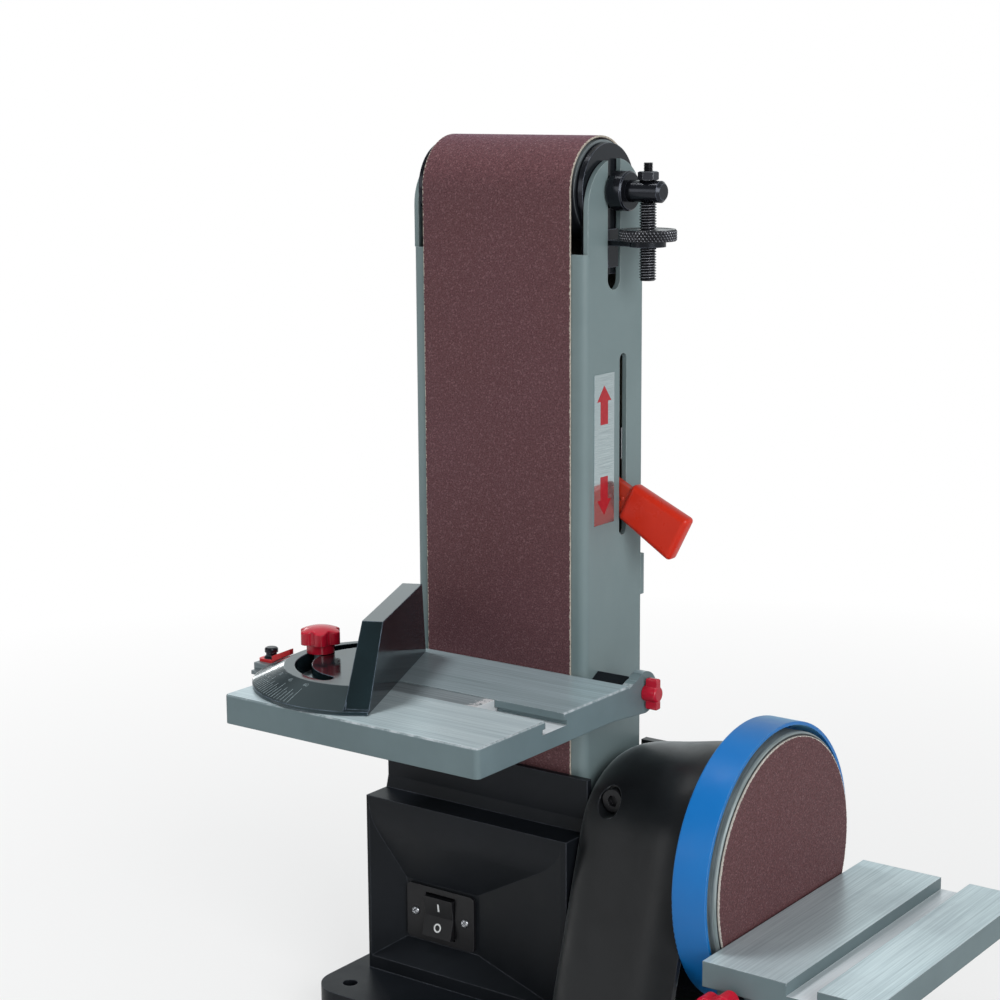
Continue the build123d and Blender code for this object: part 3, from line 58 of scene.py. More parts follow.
# Places that the finishes and the pieces refer to
belt_low, belt_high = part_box("sanding_belt")
belt_x = (belt_low.x + belt_high.x) / 2
belt_half = (belt_high.x - belt_low.x) / 2
shaft_z = joint_at["spindle_spin"].z
idler_z = belt_high.z - (shaft_z - belt_low.z)
idler_low, idler_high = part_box("idler_drum")
idler_reach = (idler_high.y - idler_low.y) / 2
disc_low, disc_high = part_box("abrasive_disc")
disc_reach = (disc_high.y - disc_low.y) / 2
bar_low, bar_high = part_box("mitre_bar")
pivot = joint_at["mitre_swivel"]
stud_low, stud_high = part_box("tracking_stud")
stud_middle = (stud_low + stud_high) / 2
plate_low, plate_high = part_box("switch_plate")


def srgb(red, green, blue):
    """Linear colour with alpha from 0 to 255 values."""
    def linear(value):
        c = value / 255
        return c / 12.92 if c <= 0.04045 else ((c + 0.055) / 1.055) ** 2.4
    return (linear(red), linear(green), linear(blue), 1.0)


class Nodes:
    """Short calls that add nodes to a shader tree."""

    def __init__(self, tree):
        self.tree = tree

    def put(self, socket, value):
        """Link a socket to another one, or set its constant."""
        if isinstance(value, bpy.types.NodeSocket):
            self.tree.links.new(value, socket)
        else:
            socket.default_value = value

    def node(self, kind, inputs=None, **settings):
        made = self.tree.nodes.new(kind)
        for key, value in settings.items():
            setattr(made, key, value)
        for key, value in (inputs or {}).items():
            self.put(made.inputs[key], value)
        return made

    def math(self, operation, a, b=0.0, clamp=False):
        return self.node("ShaderNodeMath", {0: a, 1: b}, operation=operation, use_clamp=clamp).outputs[0]

    def vector_math(self, operation, a, b=(0.0, 0.0, 0.0)):
        """One number worked out from vectors."""
        return self.node("ShaderNodeVectorMath", {0: a, 1: b}, operation=operation).outputs["Value"]

    def spread(self, value, low, high, to_low=0.0, to_high=1.0, **settings):
        """Value moved from the range low to high into another range and held inside it."""
        inputs = {0: value, 1: low, 2: high, 3: to_low, 4: to_high}
        return self.node("ShaderNodeMapRange", inputs, **settings).outputs[0]

    def mix(self, amount, a, b):
        """Colour between a and b."""
        return self.node("ShaderNodeMix", {0: amount, 6: a, 7: b}, data_type="RGBA").outputs[2]


finish = {}


class Finish(Nodes):
    """One procedural material, kept in finish under its name."""

    def __init__(self, name):
        finish[name] = self
        self.material = bpy.data.materials.new(name)
        self.material.use_nodes = True
        super().__init__(self.material.node_tree)
        self.shader = self.tree.nodes["Principled BSDF"]
        self.place = self.node("ShaderNodeTexCoord").outputs["Object"]

    def set(self, **values):
        """Inputs of the main shader, with underscores for the spaces in their names."""
        for key, value in values.items():
            self.put(self.shader.inputs[key.replace("_", " ")], value)

    def noise(self, scale, detail, rough, vector=None):
        inputs = {"Vector": vector or self.place, "Scale": scale, "Detail": detail, "Roughness": rough}
        return self.node("ShaderNodeTexNoise", inputs).outputs["Fac"]

    def lines(self, lay, detail, rough):
        """Fine lines: noise with a scale of its own along each axis."""
        stretched = self.node("ShaderNodeMapping", {"Vector": self.place, "Scale": lay}).outputs[0]
        return self.noise(1.0, detail, rough, stretched)

    def cells(self, scale, output):
        return self.node("ShaderNodeTexVoronoi", {"Vector": self.place, "Scale": scale}).outputs[output]

    def axes(self):
        """Place on the piece as three numbers in metres."""
        return self.node("ShaderNodeSeparateXYZ", {0: self.place}).outputs

    def from_axis(self, height):
        """Distance from the line that runs along x at one height."""
        here = self.axes()
        above = self.math("SUBTRACT", here["Z"], height)
        arm = self.node("ShaderNodeCombineXYZ", {1: here["Y"], 2: above}).outputs[0]
        return self.vector_math("LENGTH", arm)

    def local_normal(self, kind):
        """Surface normal in the piece's own frame."""
        normal = self.node("ShaderNodeNewGeometry").outputs[kind]
        return self.node("ShaderNodeVectorTransform", {0: normal}, vector_type="NORMAL",
                         convert_from="WORLD", convert_to="OBJECT").outputs[0]

    def upward(self, kind):
        """How far the surface faces up, from -1 to 1."""
        return self.node("ShaderNodeSeparateXYZ", {0: self.local_normal(kind)}).outputs[2]

    def rounded(self, radius):
        """Normal rounded over sharp edges, and a mask that is 1 on them."""
        bevel = self.node("ShaderNodeBevel", {"Radius": radius}, samples=4).outputs[0]
        flat = self.node("ShaderNodeNewGeometry").outputs["Normal"]
        return bevel, self.spread(self.vector_math("DOT_PRODUCT", bevel, flat), 0.99, 0.86)

    def bump(self, height, strength, distance, normal=None):
        """Fine relief, laid over a rounded normal where one is given."""
        inputs = {"Height": height, "Strength": strength, "Distance": distance}
        if normal is not None:
            inputs["Normal"] = normal
        self.set(Normal=self.node("ShaderNodeBump", inputs).outputs[0])


def painted(name, base, cloud, edge, rough, peel, edge_radius=0.0007, edge_share=0.6, metallic=0.0, gloss=0.5,
            **more):
    """Paint or moulded skin: slow colour clouds, fine surface grain and paler edges, partly abraded paint and
    partly a painted edge highlight.
    """
    f = Finish(name)
    clouds = f.spread(f.noise(14.0, 4.0, 0.6), 0.35, 0.68)
    colour = f.mix(clouds, srgb(*base), srgb(*cloud))
    normal, edges = f.rounded(edge_radius)
    # Paler edges: partly abraded paint, partly a painted highlight along the edges
    wear_and_edge_highlight = f.math("MULTIPLY", edges, f.spread(f.noise(160.0, 3.0, 0.6), 0.35, 0.6, 0.25, edge_share))
    f.set(Base_Color=f.mix(wear_and_edge_highlight, colour, srgb(*edge)), Metallic=metallic, Specular_IOR_Level=gloss, **more)
    f.set(Roughness=f.spread(f.noise(55.0, 4.0, 0.65), 0.3, 0.7, rough - 0.05, rough + 0.06))
    f.bump(f.noise(1500.0, 2.0, 0.5), peel, 0.0004, normal)


painted("arm_paint", (117, 133, 135), (111, 127, 129), (178, 190, 190), rough=0.38, peel=0.05,
        edge_share=0.75, gloss=0.32)
painted("black_casting", (19, 22, 26), (25, 28, 33), (96, 101, 110), rough=0.4, peel=0.06,
        edge_radius=0.0009, gloss=0.15)
painted("motor_black", (15, 16, 19), (21, 23, 26), (72, 76, 83), rough=0.37, peel=0.06, gloss=0.45,
        Sheen_Weight=0.5, Sheen_Roughness=0.25, Sheen_Tint=srgb(222, 232, 236))
painted("black_oxide", (14, 15, 19), (20, 21, 26), (132, 138, 154), rough=0.2, peel=0.03,
        edge_radius=0.0006, edge_share=0.8, gloss=0.36, Specular_Tint=srgb(234, 241, 255))
painted("mitre_black", (10, 19, 22), (22, 36, 41), (122, 134, 152), rough=0.1, peel=0.012,
        edge_radius=0.0008, edge_share=0.9, gloss=0.69, Specular_Tint=srgb(216, 246, 255))
painted("guard_blue", (4, 104, 177), (10, 110, 183), (116, 168, 220), rough=0.38, peel=0.03, gloss=0.4,
        Sheen_Weight=0.5, Sheen_Roughness=0.25, Sheen_Tint=srgb(140, 210, 234))
painted("knob_red", (178, 16, 41), (186, 21, 47), (226, 104, 118), rough=0.2, peel=0.03,
        edge_radius=0.0006, gloss=0.45)
painted("pointer_red", (200, 26, 34), (208, 34, 40), (236, 140, 132), rough=0.3, peel=0.03,
        edge_radius=0.0004, gloss=0.4)
painted("lever_orange", (184, 50, 26), (170, 43, 24), (214, 108, 80), rough=0.34, peel=0.05,
        edge_radius=0.0004, gloss=0.4)
painted("grip_orange", (206, 42, 17), (198, 37, 15), (222, 76, 46), rough=0.3, peel=0.03,
        edge_radius=0.0006, gloss=0.3)
painted("switch_black", (19, 19, 21), (26, 26, 29), (74, 76, 80), rough=0.38, peel=0.08,
        edge_radius=0.0005, gloss=0.3)
painted("foot_rubber", (24, 24, 25), (34, 34, 35), (58, 58, 60), rough=0.75, peel=0.2,
        edge_radius=0.0008, gloss=0.2)
painted("lamination", (96, 98, 102), (80, 82, 86), (140, 142, 146), rough=0.5, peel=0.05, metallic=0.8)
painted("winding", (176, 98, 52), (150, 80, 42), (214, 142, 92), rough=0.35, peel=0.2, metallic=0.8)
painted("nut_metal", (72, 74, 80), (58, 60, 66), (196, 198, 204), rough=0.18, peel=0.03,
        edge_radius=0.0005, edge_share=0.9, metallic=0.75)


def machined(name, base, dark, edge, rough, lay):
    """Metal with fine turned or ground lines and bright edges, the edges lightened as a painted highlight; lay
    stretches the lines along one axis.
    """
    f = Finish(name)
    lines = f.lines(lay, 3.0, 0.6)
    patches = f.noise(24.0, 3.0, 0.6)
    share = f.math("ADD", f.math("MULTIPLY", lines, 0.75), f.math("MULTIPLY", patches, 0.35), True)
    colour = f.mix(f.spread(share, 0.3, 0.75), srgb(*dark), srgb(*base))
    normal, edges = f.rounded(0.0006)
    # Edges lightened: a painted highlight
    f.set(Base_Color=f.mix(f.math("MULTIPLY", edges, 0.75), colour, srgb(*edge)), Metallic=1.0)
    f.set(Roughness=f.spread(lines, 0.25, 0.75, rough - 0.07, rough + 0.1))
    f.bump(lines, 0.12, 0.0002, normal)


machined("steel", (188, 190, 194), (150, 152, 158), (222, 224, 228), 0.32, (40.0, 900.0, 900.0))
machined("cast_aluminium", (140, 150, 158), (98, 107, 116), (190, 197, 202), 0.34, (1800.0, 60.0, 60.0))


def abrasive(name, light, pale, sheen, bare):
    """Grit bonded to cloth or paper: grains of mixed size, and pale backing where bare says."""
    f = Finish(name)
    fine = f.noise(1150.0, 3.0, 0.75)
    grains = f.cells(1300.0, "Distance")
    tint = f.node("ShaderNodeSeparateColor", {0: f.cells(1300.0, "Color")}).outputs[0]
    slow = f.spread(f.noise(9.0, 3.0, 0.55), 0.3, 0.7)
    dark = f.mix(slow, srgb(58, 34, 36), srgb(62, 37, 41))
    body = f.mix(f.spread(fine, 0.3, 0.7), dark, f.mix(slow, srgb(109, 71, 73), srgb(*light)))
    body = f.mix(f.spread(tint, 0.8, 1.0, 0.0, 0.3), body, srgb(150, 113, 116))
    weave = f.lines((2600.0, 700.0, 700.0), 2.0, 0.6)
    backing = f.mix(f.spread(weave, 0.35, 0.65), srgb(*pale[0]), srgb(*pale[1]))
    edge, inside = bare(f)
    colour = f.mix(inside, f.mix(edge, body, backing), backing)
    f.set(Base_Color=colour, Roughness=f.spread(tint, 0.0, 1.0, 0.8, 0.5), Specular_IOR_Level=0.3)
    f.set(Sheen_Weight=sheen, Sheen_Roughness=0.4, Sheen_Tint=srgb(196, 150, 215))
    f.bump(f.math("ADD", f.math("MULTIPLY", grains, -0.9), fine), 0.5, 0.0003)


def belt_bare(f):
    """Bare cloth at the belt's ragged cut edges, and on its inner side."""
    x, y, z = f.axes()
    loop = f.node("ShaderNodeClamp", {0: z, 1: shaft_z, 2: idler_z}).outputs[0]
    out = f.node("ShaderNodeCombineXYZ", {1: y, 2: f.math("SUBTRACT", z, loop)}).outputs[0]
    inside = f.spread(f.vector_math("DOT_PRODUCT", out, f.local_normal("True Normal")), 0.004, -0.004)
    across = f.math("ABSOLUTE", f.math("SUBTRACT", x, belt_x))
    ragged = f.spread(f.noise(800.0, 3.0, 0.6), 0.4, 0.68, 0.00002, 0.0008)
    cut = f.math("GREATER_THAN", f.math("ADD", across, ragged), belt_half)
    return f.math("MULTIPLY", cut, 0.8), inside


def disc_bare(f):
    """Bare paper at the disc's ragged cut edge alone."""
    ragged = f.spread(f.noise(900.0, 2.0, 0.6), 0.4, 0.65, 0.00005, 0.0008)
    cut = f.math("GREATER_THAN", f.math("ADD", f.from_axis(shaft_z), ragged), disc_reach)
    return f.math("MULTIPLY", cut, 0.85), 0.0


abrasive("abrasive_cloth", (112, 75, 80), ((164, 154, 140), (204, 196, 183)), 0.12, belt_bare)
abrasive("abrasive_paper", (106, 65, 67), ((206, 199, 188), (238, 233, 224)), 0.03, disc_bare)


def drum_metal():
    """Dark turned drum with a painted highlight on its upper rim."""
    f = Finish("drum_metal")
    z = f.axes()[2]
    # Painted highlight: the outer rim lightened on its upper part only, as if lit from above
    rim = f.spread(f.from_axis(idler_z), idler_reach - 0.0026, idler_reach - 0.0020)
    rim = f.math("MULTIPLY", rim, f.spread(z, idler_z, idler_z + 0.02))
    lines = f.lines((1500.0, 60.0, 60.0), 3.0, 0.6)
    normal, edges = f.rounded(0.0008)
    colour = f.mix(f.spread(lines, 0.3, 0.7), srgb(26, 28, 33), srgb(46, 49, 56))
    # The rim and a share of the edges take the pale colour: a painted highlight
    colour = f.mix(f.math("MAXIMUM", rim, f.math("MULTIPLY", edges, 0.5)), colour, srgb(122, 130, 133))
    f.set(Base_Color=colour, Metallic=0.3, Roughness=f.spread(lines, 0.25, 0.75, 0.3, 0.42))
    f.bump(lines, 0.1, 0.0002, normal)


def plate_metal():
    """Turned disc plate: a brushed rim, and a dark line of painted shade beside the paper."""
    f = Finish("plate_metal")
    lines = f.lines((1500.0, 60.0, 60.0), 3.0, 0.6)
    colour = f.mix(f.spread(lines, 0.3, 0.7), srgb(104, 115, 116), srgb(152, 162, 163))
    # Painted shade: the plate darkened in the gap beside the paper
    shade = f.math("LESS_THAN", f.from_axis(shaft_z), disc_reach + 0.0011)
    colour = f.mix(f.math("MULTIPLY", shade, 0.93), colour, srgb(22, 23, 26))
    f.set(Base_Color=colour, Metallic=0.3, Roughness=f.spread(lines, 0.25, 0.75, 0.42, 0.54))
    f.bump(lines, 0.1, 0.0002, f.rounded(0.0006)[0])


def cut_metal():
    """Blackened steel whose thread and knurl crests are lightened: partly bare bright steel, partly a painted
    highlight.
    """
    f = Finish("cut_metal")
    crest = f.node("ShaderNodeAttribute", attribute_name="crest").outputs["Fac"]
    uneven = f.spread(f.noise(420.0, 3.0, 0.6), 0.3, 0.62, 0.3, 0.9)
    # Crest lightening: partly bare steel on the crests, partly a painted highlight
    rub_and_highlight = f.math("MULTIPLY", f.spread(crest, 0.62, 1.0), uneven)
    black = f.mix(f.spread(f.noise(60.0, 3.0, 0.6), 0.35, 0.65), srgb(26, 26, 30), srgb(36, 36, 42))
    f.set(Base_Color=f.mix(rub_and_highlight, black, srgb(196, 198, 206)))
    f.set(Metallic=f.spread(rub_and_highlight, 0.0, 1.0, 0.4, 0.6))
    f.set(Roughness=f.spread(f.noise(300.0, 2.0, 0.6), 0.3, 0.7, 0.22, 0.34))
    f.bump(f.noise(2600.0, 2.0, 0.5), 0.03, 0.0002)


def table_metal(name, top, lay, wear_and_highlight_from, dull):
    """Painted casting with a ground top, darker past dull in y, its top edge lightened more past a given x: partly
    abraded bare, partly a painted highlight.
    """
    f = Finish(name)
    x, y, z = f.axes()
    lines = f.lines(lay, 4.0, 0.65)
    broad = f.lines(tuple(v / 7 for v in lay), 3.0, 0.55)
    share = f.math("ADD", f.math("MULTIPLY", lines, 0.75), f.math("MULTIPLY", broad, 0.25))
    streaks = f.spread(share, 0.3, 0.7)
    # The top is lighter in front and darker past dull in y
    nearer_tone = f.mix(streaks, srgb(166, 184, 190), srgb(216, 232, 236))
    farther_tone = f.mix(streaks, srgb(122, 139, 144), srgb(172, 190, 196))
    metal = f.mix(f.spread(y, dull - 0.012, dull + 0.012), nearer_tone, farther_tone)
    stains = f.spread(f.noise(11.0, 4.0, 0.6), 0.5, 0.75, 0.0, 0.4)
    metal = f.mix(stains, metal, srgb(136, 144, 154))
    sunk = f.math("MULTIPLY", f.math("LESS_THAN", z, top - 0.003), f.spread(lines, 0.3, 0.7, 0.7, 1.0))
    metal = f.mix(sunk, metal, srgb(232, 236, 240))
    paint = f.mix(f.spread(f.noise(16.0, 4.0, 0.6), 0.35, 0.65), srgb(96, 112, 116), srgb(105, 122, 126))
    level = f.math("GREATER_THAN", f.upward("True Normal"), 0.95)
    ground = f.math("MULTIPLY", level, f.math("GREATER_THAN", z, top - 0.009))
    normal, edges = f.rounded(0.0008)
    slope = f.upward("Normal")
    # Top edge band lightened: partly abraded to bare metal, partly a painted highlight
    rim = f.math("MULTIPLY", f.spread(slope, 0.12, 0.45), f.spread(slope, 0.999, 0.97))
    band = f.math("MULTIPLY", f.math("GREATER_THAN", z, top - 0.0016), f.math("LESS_THAN", z, top + 0.0003))
    rim = f.math("MULTIPLY", f.math("MAXIMUM", rim, edges), band)
    rub_and_highlight = f.math("ADD", f.noise(190.0, 4.0, 0.7), f.spread(x, wear_and_highlight_from, wear_and_highlight_from + 0.07, -0.16, 0.02))
    wear_and_edge_highlight = f.math("MULTIPLY", rim, f.spread(rub_and_highlight, 0.36, 0.66, 0.1, 0.75))
    bare = f.math("MAXIMUM", ground, wear_and_edge_highlight)
    f.set(Base_Color=f.mix(wear_and_edge_highlight, f.mix(ground, paint, metal), srgb(200, 207, 212)))
    f.set(Metallic=f.math("MULTIPLY", bare, 0.35), Specular_IOR_Level=0.3)
    polish = f.math("MULTIPLY", bare, f.spread(share, 0.3, 0.7, 0.04, 0.18))
    f.set(Roughness=f.math("SUBTRACT", 0.44, polish))
    f.bump(f.math("MULTIPLY", lines, ground), 0.2, 0.0002, normal)


def bar_metal():
    """Drawn bar with long lines, darker towards its left end, and a bright right end that is partly bare cut metal
    and partly a painted glint.
    """
    f = Finish("bar_metal")
    x = f.axes()[0]
    lines = f.lines((14.0, 1100.0, 1100.0), 4.0, 0.65)
    # Right end: partly bare cut metal, partly a painted glint
    torn = f.spread(f.noise(330.0, 4.0, 0.75), 0.42, 0.62, 0.0, 0.009)
    sawn_end_and_glint = f.math("GREATER_THAN", f.math("ADD", x, torn), bar_high.x - 0.0002)
    # Darker towards the left end
    dull = f.spread(x, bar_low.x + 0.01, bar_low.x + 0.04, 0.65, 0.0)
    colour = f.mix(f.spread(lines, 0.34, 0.66), srgb(122, 135, 140), srgb(176, 190, 195))
    colour = f.mix(dull, colour, srgb(84, 93, 98))
    normal, edges = f.rounded(0.0005)
    # Edges lightened: a painted highlight
    bright = f.math("MAXIMUM", sawn_end_and_glint, f.math("MULTIPLY", edges, 0.5))
    f.set(Base_Color=f.mix(bright, colour, srgb(236, 238, 240)), Metallic=0.5)
    f.set(Roughness=f.spread(lines, 0.3, 0.7, 0.3, 0.42))
    f.bump(lines, 0.15, 0.0002, normal)


def label_metal():
    """Silver foil with fine lines across it."""
    f = Finish("label_silver")
    lines = f.lines((60.0, 60.0, 2400.0), 3.0, 0.6)
    colour = f.mix(f.spread(lines, 0.35, 0.65), srgb(180, 194, 197), srgb(208, 222, 225))
    f.set(Base_Color=colour, Metallic=0.88, Roughness=f.spread(lines, 0.3, 0.7, 0.08, 0.15))
    f.bump(lines, 0.03, 0.0001)


def ink(name, base, cloud, rough):
    """Flat colour of slightly uneven tone: print for the marks, and for the mitre scale a painted reflection."""
    f = Finish(name)
    clouds = f.spread(f.noise(420.0, 3.0, 0.6), 0.35, 0.65)
    f.set(Base_Color=f.mix(clouds, srgb(*base), srgb(*cloud)), Specular_IOR_Level=0.25)
    f.set(Roughness=f.spread(f.noise(300.0, 2.0, 0.5), 0.3, 0.7, rough - 0.05, rough + 0.05))
    f.bump(f.noise(2400.0, 2.0, 0.5), 0.05, 0.0001)


drum_metal()
plate_metal()
cut_metal()
table_metal("table_aluminium", pivot.z, (14.0, 900.0, 900.0), wear_and_highlight_from=-0.10, dull=pivot.y)
table_metal("disc_table_metal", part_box("disc_table")[1].z, (900.0, 14.0, 900.0), wear_and_highlight_from=0.10, dull=0.5)
bar_metal()
label_metal()
ink("red_ink", (174, 44, 52), (164, 36, 46), 0.2)
# Mitre scale: moulded black ticks and numbers given a pale grey, a painted reflection
ink("scale_ink", (122, 134, 138), (98, 109, 113), 0.2)
ink("white_ink", (228, 230, 230), (214, 216, 217), 0.4)

# Each CAD node gets the finish of its material slot, apart from those that need one of their own
slot_of = {s["node"]: s["material_slot"] for s in frame["record"]["subparts"]}
special = {"disc_table": "disc_table_metal", "mitre_bar": "bar_metal", "idler_drum": "drum_metal",
           "drive_drum": "drum_metal", "disc_plate": "plate_metal", "collar_screw": "nut_metal",
           "motor_housing": "motor_black", "housing_screw": "switch_black"}
for name, node in nodes.items():
    node.data.materials.clear()
    node.data.materials.append(finish[special.get(name, slot_of[name])].material)


def piece(name, verts, faces, look, body, slot, sharp=32.0):
    """New mesh piece with a finish, riding on a body; edges above sharp degrees stay sharp."""
    mesh = bpy.data.meshes.new(name)
    mesh.from_pydata([tuple(v) for v in verts], [], faces)
    shape = bmesh.new()
    shape.from_mesh(mesh)
    bmesh.ops.remove_doubles(shape, verts=shape.verts, dist=1e-7)
    bmesh.ops.recalc_face_normals(shape, faces=shape.faces)
    shape.to_mesh(mesh)
    shape.free()
    mesh.polygons.foreach_set("use_smooth", [True] * len(mesh.polygons))
    mesh.set_sharp_from_angle(angle=math.radians(sharp))
    mesh.materials.append(finish[look].material)
    made = bpy.data.objects.new(name, mesh)
    scene.collection.objects.link(made)
    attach(made, body)
    return made


def skin(rings, closed=False):
    """Vertices and faces of a surface through equal rings of points, capped unless closed into a loop."""
    count = len(rings[0])
    verts = [point for ring in rings for point in ring]
    faces = []
    for r in range(len(rings) if closed else len(rings) - 1):
        a = r * count
        b = (r + 1) % len(rings) * count
        for c in range(count):
            d = (c + 1) % count
            faces.append((a + c, a + d, b + d, b + c))
    if not closed:
        faces.append(tuple(reversed(range(count))))
        faces.append(tuple(range(len(verts) - count, len(verts))))
    return verts, faces


def joined(parts):
    """Several vertex and face lists as one."""
    verts, faces = [], []
    for more_verts, more_faces in parts:
        start = len(verts)
        verts.extend(more_verts)
        faces.extend(tuple(i + start for i in f) for f in more_faces)
    return verts, faces


def prism(outline, at, thickness):
    """Flat outline of (u, v) pairs raised by thickness; at(u, v, w) places each point."""
    count = len(outline)
    verts = [at(u, v, 0.0) for u, v in outline] + [at(u, v, thickness) for u, v in outline]
    faces = [tuple(reversed(range(count))), tuple(range(count, 2 * count))]
    for i in range(count):
        j = (i + 1) % count
        faces.append((i, j, j + count, i + count))
    return verts, faces


def angles(count):
    """Equal steps round a full turn."""
    return [2 * math.pi * c / count for c in range(count)]


def polar(centre, radius, angle, height):
    """Point at a radius and an angle round an upright axis."""
    return Vector((centre[0] + radius * math.cos(angle), centre[1] + radius * math.sin(angle), height))


def turned_rings(profile, columns, centre):
    """Rings round an upright axis from (radius, height) pairs."""
    return [[polar(centre, radius, angle, height) for angle in angles(columns)] for radius, height in profile]


def mark_crests(made, share_of):
    """Store on each vertex how far it stands out, from 0 to 1."""
    values = [share_of(v.co) for v in made.data.vertices]
    made.data.attributes.new("crest", "FLOAT", "POINT").data.foreach_set("value", values)


def saw(value):
    """Triangle wave: 0 at whole numbers, 1 half-way."""
    return 1 - abs(2 * (value % 1.0) - 1)


def thread_rings(low, high, radius, depth, pitch, ease):
    """Rings of a screw thread on the stud's axis, its ends chamfered by ease."""
    columns = 48
    rings_a_turn = 12
    rows = max(2, round((high - low) / pitch * rings_a_turn))
    rings = []
    for r in range(rows + 1):
        z = low + (high - low) * r / rows
        limit = radius - max(0.0, ease - (z - low)) - max(0.0, ease * 0.6 - (high - z))
        ring = []
        for c, angle in enumerate(angles(columns)):
            tooth = min(1.0, max(0.0, 1.3 * saw((z - low) / pitch - c / columns) - 0.12))
            ring.append(polar(stud_middle, min(limit, radius - depth * (1 - tooth)), angle, z))
        rings.append(ring)
    return rings


def tracking_stud():
    """Stud with a coarse thread below the idler shaft and a thin one above it."""
    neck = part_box("idler_shaft")[0].z
    radius = (stud_high.x - stud_low.x) / 2
    depth = 0.95 * mm
    rings = thread_rings(stud_low.z, neck - 0.1 * mm, radius, depth, pitch=1.5 * mm, ease=0.8 * mm)
    rings += thread_rings(neck, stud_high.z, 2.6 * mm, 0.42 * mm, pitch=0.8 * mm, ease=0.35 * mm)
    stud = piece("tracking_stud_threaded", *skin(rings), "cut_metal", "tracking_shaft", "black_oxide", 50.0)

    def crest(v):
        """Share that is highest on the crests of the coarse thread."""
        return 0.84 - (radius - math.hypot(v.x - stud_middle.x, v.y - stud_middle.y)) / depth
    mark_crests(stud, crest)
    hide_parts("tracking_stud")


def tracking_wheel():
    """Wheel with a diamond knurl round its rim and a shallow recess on top."""
    low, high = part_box("tracking_wheel")
    middle = (low + high) / 2
    radius = (high.x - low.x) / 2
    bore = 5.7 * mm
    ease = 0.7 * mm
    land = 2.2 * mm
    recess = 0.25 * mm
    columns, rows, ridges = 384, 24, 48
    depth = 0.75 * mm
    pitch = 2 * math.pi * radius / ridges
    band_low = low.z + ease
    band_high = high.z - ease

    def knurl(turn, z):
        """Two crossing families of ridges, each from 0 in its grooves to 1 on its ridges."""
        rise = (z - band_low) / pitch * 0.73
        return saw(turn * ridges + rise), saw(turn * ridges - rise)

    def crest(v):
        """Painted highlight strokes along one family of ridges, broken by the grooves of the other."""
        if not band_low - 1e-6 < v.z < band_high + 1e-6:
            return 0.0
        first, second = knurl(math.atan2(v.y - middle.y, v.x - middle.x) / (2 * math.pi), v.z)
        return first if second > 0.3 else 0.5 * first

    rings = turned_rings([(bore, low.z), (radius - land, low.z), (radius - ease, low.z)], columns, middle)
    for r in range(rows + 1):
        z = band_low + (band_high - band_low) * r / rows
        ring = []
        for c, angle in enumerate(angles(columns)):
            reach = radius - depth * (1 - min(1.0, 1.25 * min(knurl(c / columns, z))))
            ring.append(polar(middle, reach, angle, z))
        rings.append(ring)
    rings += turned_rings([(radius - ease, high.z), (radius - land, high.z),
                           (radius - land - 0.4 * mm, high.z - recess), (bore + 1.2 * mm, high.z - recess),
                           (bore, high.z - 0.6 * mm)], columns, middle)
    wheel = piece("tracking_wheel_knurled", *skin(rings, closed=True), "cut_metal", "tracking_wheel",
                  "black_oxide", 28.0)
    mark_crests(wheel, crest)
    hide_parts("tracking_wheel")


def stud_nut():
    """Hexagon nut with cone-chamfered corners and an eased bore."""
    low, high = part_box("stud_nut")
    flats = high.y - low.y
    land = flats / 2 * 0.94
    bore = 2.63 * mm
    ease = 0.4 * mm
    slope = math.tan(math.radians(30))
    columns = []
    for angle in angles(72):
        off_flat = (angle + math.pi / 6) % (math.pi / 3) - math.pi / 6
        reach = flats / 2 / math.cos(off_flat)
        drop = (reach - land) * slope
        profile = [(bore, low.z), (land, low.z), (reach, low.z + drop), (reach, high.z - drop),
                   (land, high.z), (bore + ease, high.z), (bore, high.z - ease)]
        columns.append([polar(stud_middle, radius, angle, height) for radius, height in profile])
    rings = list(zip(*columns))
    nut = piece("stud_nut_chamfered", *skin(rings, closed=True), "nut_metal", "tracking_shaft",
                "black_oxide", 25.0)
    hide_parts("stud_nut")


def tension_spring():
    """Coil spring with closed ends."""
    low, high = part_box("tension_spring")
    middle = (low + high) / 2
    wire = 1.2 * mm
    radius = (high.x - low.x) / 2 - wire
    turns = 8
    steps = turns * 36
    straight_up = Vector((0, 0, 1))
    rings = []
    for k in range(steps + 1):
        share = k / steps
        angle = 2 * math.pi * turns * share
        lift = min(1.0, max(0.0, (share * turns - 1) / (turns - 2)))
        height = low.z + wire + (high.z - low.z - 2 * wire) * lift
        out = Vector((math.cos(angle), math.sin(angle), 0))
        centre = polar(middle, radius, angle, height)
        rings.append([centre + wire * (out * math.cos(t) + straight_up * math.sin(t)) for t in angles(12)])
    spring = piece("tension_spring_coil", *skin(rings), "steel", "arm", "steel", 60.0)
    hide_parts("tension_spring")
    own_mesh(spring)


def label_arrows():
    """Two arrows on the direction label, the lower one the mirror of the upper; sizes in mm."""
    low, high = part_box("tension_label")
    sunk = 0.05 * mm
    thickness = 0.13 * mm
    middle = 9.9
    shaft, head = 3.7, 7.0
    tail, neck, tip = 56.5, 69.6, 78.4
    mirror = 83.6

    def on_label(u, v, w):
        """Point on the label: u and v along its width and height in mm, w the distance off its face."""
        return Vector((high.x - sunk + w, low.y + u * mm, low.z + v * mm))

    up = [(middle - shaft, tail), (middle + shaft, tail), (middle + shaft, neck), (middle + head, neck),
          (middle, tip), (middle - head, neck), (middle - shaft, neck)]
    down = [(u, mirror - v) for u, v in reversed(up)]
    piece("label_arrows", *joined([prism(up, on_label, thickness), prism(down, on_label, thickness)]),
          "red_ink", "arm", "label_silver")


